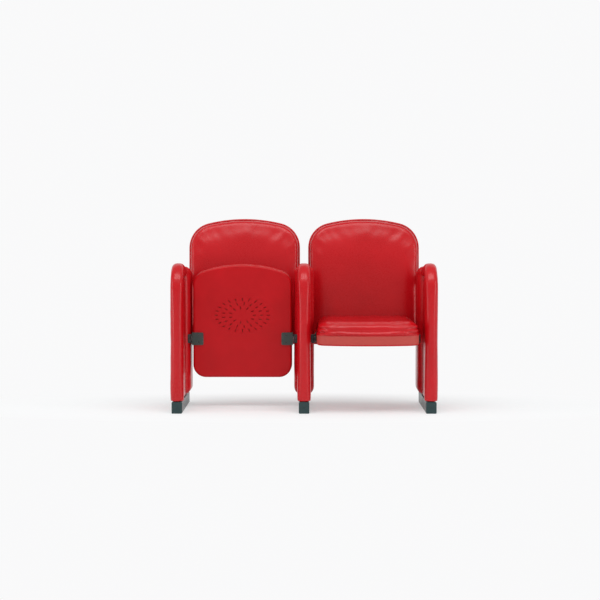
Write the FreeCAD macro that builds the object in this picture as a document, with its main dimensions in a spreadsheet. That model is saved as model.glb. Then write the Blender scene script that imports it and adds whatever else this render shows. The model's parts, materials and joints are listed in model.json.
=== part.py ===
import FreeCAD, Part
import math
import os
import Sketcher

# Two tip up auditorium seats that share their middle arm. X runs across the pair, the fronts face -Y
# and Z is up. The origin is on the floor, at the middle of the centre foot's fixing holes.
# The left seat is modelled tipped up and the right seat folded down.

VEC = FreeCAD.Vector
X_DIR = VEC(1, 0, 0)
Y_DIR = VEC(0, 1, 0)
Z_DIR = VEC(0, 0, 1)
ORIGIN = VEC(0, 0, 0)

# Each size: its name in the sheet, its value in millimetres or degrees, and what it is. A value that
# starts with = is worked out in the sheet from the sizes above it.
SIZES = [
    ("seat_pitch", 580.0, "arm centre to arm centre"),
    ("front_reach", 230.0, "origin to the front face of the arms"),
    ("foot_wide", 48.0, "foot bar width"),
    ("foot_high", 53.0, "foot bar height"),
    ("foot_long", 450.0, "foot bar length over its end caps"),
    ("foot_wall", 3.0, "foot bar wall"),
    ("foot_round", 5.0, "foot bar corner radius"),
    ("cap_face", 4.0, "end cap face thickness"),
    ("cap_plug", 16.0, "end cap plug depth inside the bar"),
    ("cap_mark", 14.0, "diameter of the round recess in the cap"),
    ("cap_mark_deep", 1.0, "depth of the round recess in the cap"),
    ("anchor_hole", 11.0, "floor bolt hole diameter"),
    ("anchor_access", 24.0, "access hole above the floor bolt"),
    ("anchor_spacing", 300.0, "front to rear distance of the floor bolts"),
    ("arm_front_round", 125.0, "outside radius over the top of the arm's front"),
    ("arm_crown", 685.0, "highest point of the arm"),
    ("arm_slope", 6.5, "fall of the arm's top to the rear in degrees"),
    ("roll_wide", 64.0, "width of the padded front roll"),
    ("roll_deep", 55.0, "depth of the padded front roll"),
    ("roll_nose", 24.0, "corner radius on the outside of the roll"),
    ("roll_tuck", 7.0, "corner radius on the inside of the roll"),
    ("roll_end", 60.0, "how far behind the origin the top roll runs"),
    ("bolster_wide", 94.0, "width of the padded rear bolster"),
    ("bolster_front", -4.0, "origin to the front face of the bolster"),
    ("bolster_deep", 174.0, "front to rear depth of the bolster"),
    ("bolster_round", 38.0, "upright corner radius of the bolster"),
    ("bolster_top_round", 24.0, "radius round the bolster's top"),
    ("bolster_foot_round", 34.0, "radius round the bolster's lower end"),
    ("panel_thick", 40.0, "thickness of the padded side panel"),
    ("tube_size", 25.0, "arm frame tube diameter"),
    ("tube_wall", 2.0, "arm frame tube wall"),
    ("tube_inset", 30.0, "tube centre behind the arm's outside face"),
    ("rear_tube_inset", 40.0, "rear leg centre in front of the bolster's back"),
    ("rear_tube_bend", 60.0, "bend radius of the tube at the top rear"),
    ("web_thick", 3.0, "steel web in the arm frame"),
    ("base_bar_wide", 30.0, "flat bar under the arm frame"),
    ("base_bar_thick", 5.0, "thickness of the flat bar under the arm frame"),
    ("pivot_back", 24.0, "tip axis behind the origin"),
    ("pivot_high", 325.0, "tip axis above the floor"),
    ("tip_travel", 90.0, "tip up travel in degrees"),
    ("block_high", 42.0, "height of the bearing block, with the tip axis at its middle"),
    ("block_front", 13.0, "how far the bearing block runs in front of the tip axis"),
    ("block_rear", 24.0, "how far the bearing block runs behind the tip axis"),
    ("block_round", 4.0, "corner radius of the bearing block"),
    ("block_proud", 3.5, "how far the bearing block stands out of the bolster's side"),
    ("block_face", "=bolster_wide / 2 + block_proud", "arm centre to the bearing block's face"),
    ("upholstery_gap", 0.3, "clearance of padding round steelwork"),
    ("pin_radius", 7.0, "pivot pin radius"),
    ("running_gap", 0.05, "radial play of the pin in its bush"),
    ("pin_reach", 36.0, "how far the pin runs past the cheek"),
    ("bush_wall", 2.0, "bush wall"),
    ("bush_flange", 12.0, "bush flange radius"),
    ("bush_flange_thick", 1.5, "bush flange thickness"),
    ("bush_long", 30.0, "bush length inside the block"),
    ("side_gap", 0.7, "side play between the cheek and the bush flange"),
    ("cheek_thick", 4.7, "cheek plate thickness"),
    ("cheek_long", 59.0, "cheek and base plate length along the seat"),
    ("cheek_top", 30.0, "cheek height above the tip axis"),
    ("cheek_round", 8.0, "cheek corner radius"),
    ("plate_wide", 54.0, "base plate width under the seat"),
    ("plate_thick", 6.0, "base plate thickness"),
    ("plate_round", 7.0, "base plate corner radius"),
    ("stop_circle", 19.0, "radius at which the stop stud stands"),
    ("stop_radius", 4.5, "stop stud radius with its rubber sleeve"),
    ("stop_gap", 0.3, "clearance of the stud in its slot"),
    ("stop_angle", 45.0, "where the stud stands, up from the rear in degrees"),
    ("stop_seat", 6.0, "how deep the stud sits in the block"),
    ("pan_side_gap", 11.0, "clearance between the seat pan and the bolster"),
    ("pan_half", "=seat_pitch / 2 - bolster_wide / 2 - pan_side_gap", "half width of the seat pan"),
    ("pan_front", 346.0, "tip axis to the front of the pan"),
    ("pan_rear", 182.0, "tip axis to the rear of the pan"),
    ("pan_bow", 48.0, "bow of the pan's front edge"),
    ("pan_front_round", 66.0, "front corner radius of the pan"),
    ("pan_rear_round", 60.0, "rear corner radius of the pan"),
    ("pan_under", 10.5, "underside of the pan below the tip axis"),
    ("pan_high", 48.0, "height of the pan's wall"),
    ("pan_wall", 8.0, "pan wall and floor thickness"),
    ("pan_edge_round", 9.0, "radius along the pan's lower edge"),
    ("board_thick", 12.0, "cushion board thickness"),
    ("board_gap", 0.3, "clearance of the board in the pan"),
    ("frame_bar", 20.0, "width of the seat frame bar"),
    ("frame_side_gap", 9.0, "clearance between the seat frame and the pan's side wall"),
    ("frame_front_gap", 3.0, "seat frame behind the ends of the pan's bowed front"),
    ("frame_rear_gap", 14.0, "clearance between the seat frame and the pan's rear wall"),
    ("frame_half", "=pan_half - pan_wall - frame_side_gap", "half width of the seat frame"),
    ("frame_front", "=pan_front - pan_bow - frame_front_gap", "tip axis to the front of the seat frame"),
    ("frame_rear", "=pan_rear - pan_wall - frame_rear_gap", "tip axis to the rear of the seat frame"),
    ("frame_corner", 30.0, "corner radius of the seat frame"),
    ("cushion_over_side", 6.0, "cushion overhang past the pan's side"),
    ("cushion_over_front", 10.0, "cushion overhang past the pan's front"),
    ("cushion_over_rear", 0.0, "cushion overhang past the pan's rear"),
    ("cushion_high", 58.0, "cushion thickness"),
    ("cushion_top_round", 26.0, "cushion radius round its top"),
    ("cushion_low_round", 9.0, "cushion radius round its underside"),
    ("panel_centre", 111.0, "tip axis to the middle of the sound panel"),
    ("panel_long", 300.0, "sound panel width across the seat"),
    ("panel_short", 180.0, "sound panel height along the seat"),
    ("panel_plate", 3.0, "sound panel thickness"),
    ("panel_ledge", 5.0, "ledge that carries the sound panel"),
    ("panel_gap", 0.2, "clearance round the sound panel"),
    ("slot_wide", 3.0, "width of a sound slot"),
    ("slot_long", 15.0, "length of a sound slot"),
    ("slot_spacing", 27.0, "distance between the sound slots round a ring"),
    ("seat_screw_head", 9.0, "head diameter of a bracket screw"),
    ("seat_screw_sink", 3.2, "head thickness of a bracket screw"),
    ("seat_screw_shank", 5.0, "shank diameter of a bracket screw"),
    ("seat_screw_long", 22.0, "shank length of a bracket screw"),
    ("seat_screw_spacing", 32.0, "distance between a bracket's screws"),
    ("seat_screw_gap", 0.2, "clearance of a bracket screw in its holes"),
    ("back_side_gap", 21.0, "arm centre to the side of the back"),
    ("back_half", "=seat_pitch / 2 - back_side_gap", "half width of the back"),
    ("back_top", 888.0, "top of the back above the floor"),
    ("back_shoulder_round", 120.0, "radius of the back's shoulders"),
    ("back_shoulder_drop", 138.0, "how far below the back's top the shoulders start"),
    ("back_low_side", 283.0, "lower edge of the back at its sides"),
    ("back_low_middle", 273.0, "lower edge of the back at its middle"),
    ("back_low_round", 24.0, "radius of the back's lower corners"),
    ("back_front", 218.0, "origin to the back's front face at the profile's foot"),
    ("back_profile_foot", 260.0, "height where the back's profile starts"),
    ("back_bend_high", 705.0, "height where the back leans further"),
    ("back_lean_low", 3.6, "lean of the lower back in degrees"),
    ("back_lean_top", 11.5, "lean of the upper back in degrees"),
    ("back_bend_round", 600.0, "radius of the change of lean"),
    ("back_pad", 40.0, "back cushion thickness"),
    ("back_pad_round", 20.0, "radius round the back cushion's front"),
    ("back_board", 12.0, "moulded back board thickness"),
    ("back_board_inset", 9.0, "back board edge inside the cushion's edge"),
    ("back_cover", 12.0, "rear cover thickness"),
    ("back_cover_round", 6.0, "radius round the rear cover"),
    ("bracket_plate", 5.0, "back bracket plate thickness"),
    ("bracket_low", 330.0, "lower end of the back bracket"),
    ("bracket_high", 620.0, "upper end of the back bracket"),
    ("bracket_arm", 50.0, "height of each arm of the back bracket"),
    ("bracket_window_round", 20.0, "corner radius of the window in the bracket"),
    ("back_screw_edge", 31.0, "back screw from the side of the back"),
    ("back_screw_out", "=back_side_gap + back_screw_edge", "arm centre to a back screw"),
    ("bracket_past_screw", 24.0, "how far a bracket wing runs past its screws"),
    ("bracket_wing", "=back_screw_out + bracket_past_screw", "reach of a bracket wing from the arm centre"),
    ("back_screw_inset", 35.0, "back screw from the end of the wing"),
    ("back_screw_head", 13.0, "back screw head diameter"),
    ("back_screw_head_high", 5.0, "back screw head height"),
    ("back_screw_shank", 6.0, "back screw shank diameter"),
    ("back_screw_hole", 6.4, "hole for a back screw"),
]

# How large each ring of sound slots is beside the sound panel.
SLOT_RINGS = [0.82, 0.6, 0.38]

# Points nearer than this count as the same place.
SAME_PLACE = 0.01

doc = FreeCAD.newDocument("TipUpSeatPair")
sheet = doc.addObject("Spreadsheet::Sheet", "Sizes")
for row, (alias, value, meaning) in enumerate(SIZES, start=1):
    sheet.set("A%d" % row, meaning)
    sheet.set("B%d" % row, str(value))
    sheet.setAlias("B%d" % row, alias)
doc.recompute()


def size(alias):
    return float(sheet.get(alias))


def worked(formula):
    """The value of a formula in the sheet's names."""
    return float(sheet.evalExpression(formula))


# Helpers for bodies made of sketches

def new_body(label):
    body = doc.addObject("PartDesign::Body", label)
    body.Label = label
    return body


def sketch_on(body, role, name, offset=None):
    """A sketch on one of the body's own origin planes; offset is a formula along the plane's normal."""
    sketch = body.newObject("Sketcher::SketchObject", name)
    plane = [item for item in body.Origin.OriginFeatures if item.Role == role][0]
    sketch.AttachmentSupport = [(plane, "")]
    sketch.MapMode = "FlatFace"
    if offset:
        sketch.setExpression("AttachmentOffset.Base.z", offset)
    return sketch


def bind(sketch, kind, args, formula):
    index = sketch.addConstraint(Sketcher.Constraint(kind, *args, worked(formula)))
    sketch.setExpression("Constraints[%d]" % index, formula)


def loop_of_lines(sketch, corners):
    """A closed loop of straight lines whose corners are pairs of formulas."""
    first = sketch.GeometryCount
    points = [VEC(worked(x), worked(y), 0) for x, y in corners]
    count = len(points)
    for i in range(count):
        sketch.addGeometry(Part.LineSegment(points[i], points[(i + 1) % count]), False)
    for i in range(count):
        sketch.addConstraint(Sketcher.Constraint("Coincident", first + i, 2, first + (i + 1) % count, 1))
    for i, (x, y) in enumerate(corners):
        bind(sketch, "DistanceX", (-1, 1, first + i, 1), x)
        bind(sketch, "DistanceY", (-1, 1, first + i, 1), y)


def rectangle(sketch, low_x, low_y, high_x, high_y):
    loop_of_lines(sketch, [(low_x, low_y), (high_x, low_y), (high_x, high_y), (low_x, high_y)])


def circle(sketch, x, y, radius):
    index = sketch.GeometryCount
    centre = VEC(worked(x), worked(y), 0)
    sketch.addGeometry(Part.Circle(centre, Z_DIR, worked(radius)), False)
    bind(sketch, "Radius", (index,), radius)
    bind(sketch, "DistanceX", (-1, 1, index, 3), x)
    bind(sketch, "DistanceY", (-1, 1, index, 3), y)


def extrude(body, kind, name, sketch, length, both_ways=False, reverse=False):
    """A Pad or a Pocket of the sketch."""
    feature = body.newObject("PartDesign::" + kind, name)
    feature.Profile = sketch
    feature.setExpression("Length", length)
    feature.Reversed = reverse
    if both_ways:
        feature.SideType = "Symmetric"
    doc.recompute()
    return feature


def edge_names(shape, wanted):
    """Names of the edges whose middle point and direction pass the test."""
    names = []
    for i, edge in enumerate(shape.Edges, start=1):
        middle = edge.valueAt((edge.FirstParameter + edge.LastParameter) / 2)
        tangent = edge.tangentAt((edge.FirstParameter + edge.LastParameter) / 2)
        if wanted(middle, tangent):
            names.append("Edge%d" % i)
    return names


def round_edges(body, name, radius, wanted):
    base = body.Tip
    fillet = body.newObject("PartDesign::Fillet", name)
    fillet.Base = (base, edge_names(base.Shape, wanted))
    fillet.setExpression("Radius", radius)
    doc.recompute()
    return fillet


def along(direction):
    """A test for straight edges that run along a direction."""
    return lambda middle, tangent: abs(abs(tangent.dot(direction)) - 1) < 1e-6


# Helpers for forms that no sketch feature makes

def feature(label, shape, placement=None):
    node = doc.addObject("Part::Feature", label)
    node.Label = label
    node.Shape = shape.removeSplitter() if shape.ShapeType == "Solid" else shape
    if placement:
        node.Placement = placement
    return node


def only_solid(shape):
    return shape.Solids[0] if len(shape.Solids) == 1 else shape


def line(start, end):
    return Part.LineSegment(start, end).toShape()


def arc(start, through, end):
    return Part.Arc(start, through, end).toShape()


def mirrored(shape):
    return shape.mirror(ORIGIN, X_DIR)


def box(low, high):
    return Part.makeBox(high.x - low.x, high.y - low.y, high.z - low.z, low)


def rod(radius, start, end):
    return Part.makeCylinder(radius, (end - start).Length, start, end - start)


def bend(before, corner, after, radius):
    """The three points of an arc of that radius in the corner between two straight runs."""
    going = (corner - before).normalize()
    leaving = (after - corner).normalize()
    half_turn = going.getAngle(leaving) / 2
    back = radius * math.tan(half_turn)
    inward = (leaving - going).normalize()
    middle = corner + inward * radius * (1 / math.cos(half_turn) - 1)
    return corner - going * back, middle, corner + leaving * back


def rounded_path(points, radii):
    """Edges through the points, with an arc of the given radius at each point between the ends."""
    edges = []
    last = points[0]
    for i, radius in enumerate(radii, start=1):
        start, middle, end = bend(points[i - 1], points[i], points[i + 1], radius)
        edges.append(line(last, start))
        edges.append(arc(start, middle, end))
        last = end
    edges.append(line(last, points[-1]))
    return edges


def rounded_loop(points, radii):
    """A closed wire through the points, with an arc of its own radius at every one."""
    count = len(points)
    bends = [bend(points[i - 1], points[i], points[(i + 1) % count], radii[i]) for i in range(count)]
    edges = []
    for i in range(count):
        start, middle, end = bends[i]
        edges.append(arc(start, middle, end))
        edges.append(line(end, bends[(i + 1) % count][0]))
    return Part.Wire(edges)


# Places worked out from the sizes

SIDES = {"left": -1, "centre": 0, "right": 1}
ARM_X = {name: side * size("seat_pitch") for name, side in SIDES.items()}
SEAT_X = {"left": -size("seat_pitch") / 2, "right": size("seat_pitch") / 2}
BOLSTER_REAR = size("bolster_front") + size("bolster_deep")
LEG_FRONT = -size("front_reach") + size("tube_inset")
LEG_REAR = BOLSTER_REAR - size("rear_tube_inset")
AXIS = VEC(0, size("pivot_back"), size("pivot_high"))
CHEEK_INSIDE = (
    size("seat_pitch") / 2 - size("block_face") - size("bush_flange_thick")
    - size("side_gap") - size("cheek_thick")
)
PAN_TOP = size("pan_high") - size("pan_under")
SLOPE = math.radians(size("arm_slope"))
FRONT_BEND = size("arm_front_round")
CROWN_CENTRE = VEC(0, FRONT_BEND - size("front_reach"), size("arm_crown") - FRONT_BEND)


def top_height(y, below=0.0):
    """Height of the arm's sloping top line at y, or of a line that runs below it."""
    rise = (FRONT_BEND - below) / math.cos(SLOPE)
    return CROWN_CENTRE.z + rise - (y - CROWN_CENTRE.y) * math.tan(SLOPE)


def arm_line(inset, rear):
    """Points up the arm's front and back along its top, at a depth inside the outside face."""
    front = inset - size("front_reach")
    return [VEC(0, front, size("foot_high")), VEC(0, front, top_height(front, inset)),
            VEC(0, rear, top_height(rear, inset))]


def front_bend(inset):
    return FRONT_BEND - inset


# Feet

def make_foot(name, x):
    body = new_body("foot_" + name)
    section = sketch_on(body, "XZ_Plane", "FootSection")
    rectangle(section, "-Sizes.foot_wide / 2", "0", "Sizes.foot_wide / 2", "Sizes.foot_high")
    extrude(body, "Pad", "FootBar", section, "Sizes.foot_long - 2 * Sizes.cap_face", both_ways=True)
    round_edges(body, "FootCorners", "Sizes.foot_round", along(Y_DIR))
    bore = sketch_on(body, "XZ_Plane", "FootBore")
    rectangle(bore, "-Sizes.foot_wide / 2 + Sizes.foot_wall", "Sizes.foot_wall",
              "Sizes.foot_wide / 2 - Sizes.foot_wall", "Sizes.foot_high - Sizes.foot_wall")
    extrude(body, "Pocket", "FootHollow", bore, "Sizes.foot_long", both_ways=True)
    for title, radius, height, depth in (
        ("Anchor", "Sizes.anchor_hole / 2", None, "Sizes.foot_wall"),
        ("Access", "Sizes.anchor_access / 2", "Sizes.foot_high - Sizes.foot_wall", "Sizes.foot_wall"),
    ):
        holes = sketch_on(body, "XY_Plane", title + "Holes", height)
        circle(holes, "0", "-Sizes.anchor_spacing / 2", radius)
        circle(holes, "0", "Sizes.anchor_spacing / 2", radius)
        extrude(body, "Pocket", title + "Cut", holes, depth, reverse=True)
    body.Placement.Base = VEC(x, 0, 0)
    return body


def make_foot_caps(name, x):
    """The two moulded plugs that close a foot bar."""
    half_wide = size("foot_wide") / 2
    high = size("foot_high")
    wall = size("foot_wall")
    half_long = size("foot_long") / 2
    inner = half_long - size("cap_face")
    face = box(VEC(-half_wide, inner, 0), VEC(half_wide, half_long, high))
    face = face.makeFillet(size("foot_round"), [e for e in face.Edges if along(Y_DIR)(None, e.tangentAt(0))])
    plug_low = VEC(-half_wide + wall, inner - size("cap_plug"), wall)
    plug = box(plug_low, VEC(half_wide - wall, inner, high - wall))
    mark_start = VEC(0, half_long - size("cap_mark_deep"), high / 2)
    mark = rod(size("cap_mark") / 2, mark_start, mark_start + Y_DIR * high)
    cap = only_solid(face.fuse(plug).cut(mark))
    other = cap.mirror(ORIGIN, Y_DIR)
    place = FreeCAD.Placement(VEC(x, 0, 0), FreeCAD.Rotation())
    return feature("foot_caps_" + name, Part.makeCompound([cap, other]), place)


# Arms

def swept(section_face, edges):
    """A face carried along a flat path."""
    return Part.Wire(edges).makePipe(section_face)


def round_section(radius, centre):
    return Part.Face(Part.Wire(Part.makeCircle(radius, centre, Z_DIR)))


def frame_path():
    inset = size("tube_inset")
    front, corner, top_rear = arm_line(inset, LEG_REAR)
    points = [front, corner, top_rear, VEC(0, LEG_REAR, size("foot_high"))]
    return points, [front_bend(inset), size("rear_tube_bend")]


def frame_web():
    """The steel sheet that fills the bent tube, from its centre line inwards."""
    points, radii = frame_path()
    edges = rounded_path(points, radii)
    edges.append(line(points[-1], points[0]))
    web = Part.Face(Part.Wire(edges)).extrude(X_DIR * size("web_thick"))
    web.translate(X_DIR * (-size("web_thick") / 2))
    return web


def frame_base():
    half_wide = size("base_bar_wide") / 2
    half_tube = size("tube_size") / 2
    low = VEC(-half_wide, LEG_FRONT - half_tube, size("foot_high"))
    high = VEC(half_wide, LEG_REAR + half_tube, size("foot_high") + size("base_bar_thick"))
    return box(low, high)


def frame_tube(radius):
    points, radii = frame_path()
    return swept(round_section(radius, points[0]), rounded_path(points, radii))


def frame_envelope():
    """The whole steelwork of an arm as it looks to the padding round it."""
    return only_solid(frame_tube(size("tube_size") / 2).multiFuse([frame_web(), frame_base()]))


def roll_outline():
    """The front and top roll before anything is cut from it."""
    inner = size("roll_deep") - size("front_reach")
    outer = -size("front_reach")
    half = size("roll_wide") / 2
    low = size("foot_high")
    corners = [VEC(-half, outer, low), VEC(half, outer, low), VEC(half, inner, low), VEC(-half, inner, low)]
    radii = [size("roll_nose"), size("roll_nose"), size("roll_tuck"), size("roll_tuck")]
    inset = size("tube_inset")
    path = rounded_path(arm_line(inset, size("roll_end")), [front_bend(inset)])
    return swept(Part.Face(rounded_loop(corners, radii)), path)


def bolster_outline():
    """The rear bolster before anything is cut from it."""
    half = size("bolster_wide") / 2
    front = size("bolster_front")
    corners = [VEC(-half, front, 0), VEC(half, front, 0),
               VEC(half, BOLSTER_REAR, 0), VEC(-half, BOLSTER_REAR, 0)]
    plan = Part.Face(rounded_loop(corners, [size("bolster_round")] * 4))
    column = plan.extrude(Z_DIR * size("arm_crown"))
    low = size("foot_high")
    side = [VEC(-half, front, low), VEC(-half, BOLSTER_REAR, low),
            VEC(-half, BOLSTER_REAR, top_height(BOLSTER_REAR)), VEC(-half, front, top_height(front))]
    slab = Part.Face(Part.makePolygon(side + side[:1])).extrude(X_DIR * 2 * half)
    block = only_solid(column.common(slab))
    middle_high = size("arm_crown") / 2
    upper = [e for e in block.Edges if e.BoundBox.ZMin > middle_high]
    block = block.makeFillet(size("bolster_top_round"), upper)
    lower = [e for e in block.Edges if e.BoundBox.ZMax < low + SAME_PLACE]
    return block.makeFillet(size("bolster_foot_round"), lower)


def panel_outline(side):
    """The padded flat on one side of the arm, still running under the roll and the bolster."""
    depth = size("roll_deep")
    points = arm_line(depth, size("roll_end"))
    radius = max(front_bend(depth), 1.0)
    edges = rounded_path(points, [radius])
    low_rear = VEC(0, size("roll_end"), size("foot_high"))
    edges.append(line(points[-1], low_rear))
    edges.append(line(low_rear, points[0]))
    half = size("panel_thick") / 2
    return Part.Face(Part.Wire(edges)).extrude(X_DIR * side * half)


def block_outline(side, gap=0.0):
    """The room a bearing block takes beside the arm's web."""
    half_high = size("block_high") / 2 + gap
    near = side * size("web_thick") / 2
    far = side * (size("block_face") + gap)
    low = VEC(min(near, far), AXIS.y - size("block_front") - gap, AXIS.z - half_high)
    high = VEC(max(near, far), AXIS.y + size("block_rear") + gap, AXIS.z + half_high)
    return box(low, high)


def bracket_slot():
    """The slit in the bolster's back that the back bracket leaves by."""
    half = size("bracket_plate") / 2 + size("upholstery_gap")
    gap = size("upholstery_gap")
    low = VEC(-half, LEG_REAR, size("bracket_low") - gap)
    return box(low, VEC(half, BOLSTER_REAR + gap, size("bracket_high") + gap))


def make_arm(name, x, seat_sides):
    """One arm: bent steel frame, front and top roll, rear bolster and a padded panel each side."""
    place = FreeCAD.Placement(VEC(x, 0, 0), FreeCAD.Rotation())
    envelope = frame_envelope()
    bore = frame_tube(size("tube_size") / 2 - size("tube_wall"))
    frame = only_solid(envelope.cut(bore))
    rooms = [block_outline(side, size("upholstery_gap")) for side in seat_sides]
    bolster_full = bolster_outline()
    roll_full = roll_outline()
    bolster = only_solid(bolster_full.cut(Part.makeCompound([envelope, bracket_slot()] + rooms)))
    roll = only_solid(roll_full.cut(bolster_full).cut(envelope))
    nodes = [feature("arm_frame_" + name, frame, place), feature("arm_roll_" + name, roll, place),
             feature("arm_bolster_" + name, bolster, place)]
    for side, title in ((-1, "left"), (1, "right")):
        panel = panel_outline(side).cut(bolster_full).cut(roll_full).cut(envelope)
        if side in seat_sides:
            panel = panel.cut(block_outline(side, size("upholstery_gap")))
        nodes.append(feature("arm_panel_%s_%s" % (name, title), only_solid(panel), place))
    return nodes


# Tip up bearings. Each is built at its arm's centre line, with side +1 for a seat to its right.

def make_bearing(name, x, side):
    """The bearing block, its flanged bush and the stop stud on one side of an arm."""
    place = VEC(x, AXIS.y, AXIS.z)
    turned = side < 0
    block = new_body("bearing_block_" + name)
    section = sketch_on(block, "YZ_Plane", "BlockSection", "%d * Sizes.web_thick / 2" % side)
    half_high = "Sizes.block_high / 2"
    rectangle(section, "-Sizes.block_front", "-" + half_high, "Sizes.block_rear", half_high)
    run = "Sizes.block_face - Sizes.web_thick / 2"
    extrude(block, "Pad", "BlockPad", section, run, reverse=turned)
    round_edges(block, "BlockCorners", "Sizes.block_round", along(X_DIR))
    through = sketch_on(block, "YZ_Plane", "BushSeat", "%d * Sizes.block_face" % side)
    circle(through, "0", "0", "Sizes.pin_radius + Sizes.running_gap + Sizes.bush_wall")
    extrude(block, "Pocket", "BushBore", through, run, reverse=turned)
    stud_hole = sketch_on(block, "YZ_Plane", "StudSeat", "%d * Sizes.block_face" % side)
    stud_behind = "Sizes.stop_circle * cos(Sizes.stop_angle)"
    stud_above = "Sizes.stop_circle * sin(Sizes.stop_angle)"
    circle(stud_hole, stud_behind, stud_above, "Sizes.stop_radius")
    extrude(block, "Pocket", "StudBore", stud_hole, "Sizes.stop_seat", reverse=turned)
    block.Placement.Base = place

    bush = new_body("pivot_bush_" + name)
    bore = "Sizes.pin_radius + Sizes.running_gap"
    sleeve = sketch_on(bush, "YZ_Plane", "SleeveRing", "%d * (Sizes.block_face - Sizes.bush_long)" % side)
    circle(sleeve, "0", "0", bore)
    circle(sleeve, "0", "0", bore + " + Sizes.bush_wall")
    extrude(bush, "Pad", "Sleeve", sleeve, "Sizes.bush_long", reverse=turned)
    flange = sketch_on(bush, "YZ_Plane", "FlangeRing", "%d * Sizes.block_face" % side)
    circle(flange, "0", "0", bore)
    circle(flange, "0", "0", "Sizes.bush_flange")
    extrude(bush, "Pad", "Flange", flange, "Sizes.bush_flange_thick", reverse=turned)
    bush.Placement.Base = place

    stud = new_body("stop_stud_" + name)
    stud_start = "%d * (Sizes.block_face - Sizes.stop_seat)" % side
    round_bar = sketch_on(stud, "YZ_Plane", "StudRound", stud_start)
    circle(round_bar, stud_behind, stud_above, "Sizes.stop_radius")
    stud_run = "Sizes.stop_seat + Sizes.bush_flange_thick + Sizes.side_gap + Sizes.cheek_thick"
    extrude(stud, "Pad", "StudBar", round_bar, stud_run, reverse=turned)
    stud.Placement.Base = place
    return [block, bush, stud]


# Seats, built folded down about the tip axis and then placed

def pan_wire(out_side, out_front, out_rear, height):
    """The seat's plan outline: straight sides, bowed front, rounded corners, let out by the three amounts."""
    half = size("pan_half") + out_side
    front = -(size("pan_front") + out_front)
    rear = size("pan_rear") + out_rear
    bow = size("pan_bow")
    big = ((half * half) + bow * bow) / (2 * bow)
    corner = size("pan_front_round") + out_side
    centre_y = front + big
    # The corner arc touches the side line and the bowed front edge.
    corner_x = half - corner
    corner_y = centre_y - math.sqrt((big - corner) ** 2 - corner_x ** 2)
    toward = VEC(corner_x, corner_y - centre_y, 0).normalize()
    touch = VEC(0, centre_y, height) + toward * big
    side_start = VEC(half, corner_y, height)
    start_angle = math.atan2(touch.y - corner_y, touch.x - corner_x)
    halfway = VEC(math.cos(start_angle / 2), math.sin(start_angle / 2), 0)
    middle = VEC(corner_x, corner_y, height) + halfway * corner
    rear_round = size("pan_rear_round") + out_side
    rear_corner = VEC(half, rear, height)
    rear_start, rear_middle, rear_end = bend(side_start, rear_corner, VEC(-half, rear, height), rear_round)

    def flip(point):
        return VEC(-point.x, point.y, point.z)

    return Part.Wire([
        arc(flip(touch), VEC(0, front, height), touch),
        arc(touch, middle, side_start),
        line(side_start, rear_start),
        arc(rear_start, rear_middle, rear_end),
        line(rear_end, flip(rear_end)),
        arc(flip(rear_end), flip(rear_middle), flip(rear_start)),
        line(flip(rear_start), flip(side_start)),
        arc(flip(side_start), flip(middle), flip(touch)),
    ])


def pan_prism(out_side, out_front, out_rear, low, high):
    return Part.Face(pan_wire(out_side, out_front, out_rear, low)).extrude(Z_DIR * (high - low))


def level_edges(shape, height):
    return [e for e in shape.Edges
            if abs(e.BoundBox.ZMin - height) < SAME_PLACE and abs(e.BoundBox.ZMax - height) < SAME_PLACE]


def oval_prism(long_axis, short_axis, low, high):
    """An upright oval disc in the middle of the sound panel."""
    centre = VEC(0, -size("panel_centre"), low)
    oval = Part.Ellipse(centre, long_axis / 2, short_axis / 2).toShape()
    return Part.Face(Part.Wire(oval)).extrude(Z_DIR * (high - low))


def screw_places():
    """Plan positions of the two bracket screws on the seat's right side."""
    x = size("frame_half") - size("frame_bar") / 2
    return [VEC(x, sign * size("seat_screw_spacing") / 2, 0) for sign in (-1, 1)]


def seat_screw_holes(low, high):
    """Clearance holes for the shanks of all four bracket screws."""
    radius = size("seat_screw_shank") / 2 + size("seat_screw_gap")
    starts = [VEC(flip * p.x, p.y, low) for p in screw_places() for flip in (-1, 1)]
    return Part.makeCompound([rod(radius, start, start + Z_DIR * (high - low)) for start in starts])


def make_pan():
    under = -size("pan_under")
    wall = size("pan_wall")
    tray = pan_prism(0, 0, 0, under, PAN_TOP)
    tray = tray.makeFillet(size("pan_edge_round"), level_edges(tray, under))
    hollow = pan_prism(-wall, -wall, -wall, under + wall, PAN_TOP + wall)
    long_axis = size("panel_long")
    short_axis = size("panel_short")
    ledges = 2 * size("panel_ledge")
    oval_seat = oval_prism(long_axis, short_axis, under - wall, under + size("panel_plate"))
    oval_hole = oval_prism(long_axis - ledges, short_axis - ledges, under - wall, under + 2 * wall)
    holes = seat_screw_holes(under - wall, under + 2 * wall)
    return only_solid(tray.cut(hollow).cut(oval_seat).cut(oval_hole).cut(holes))


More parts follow.
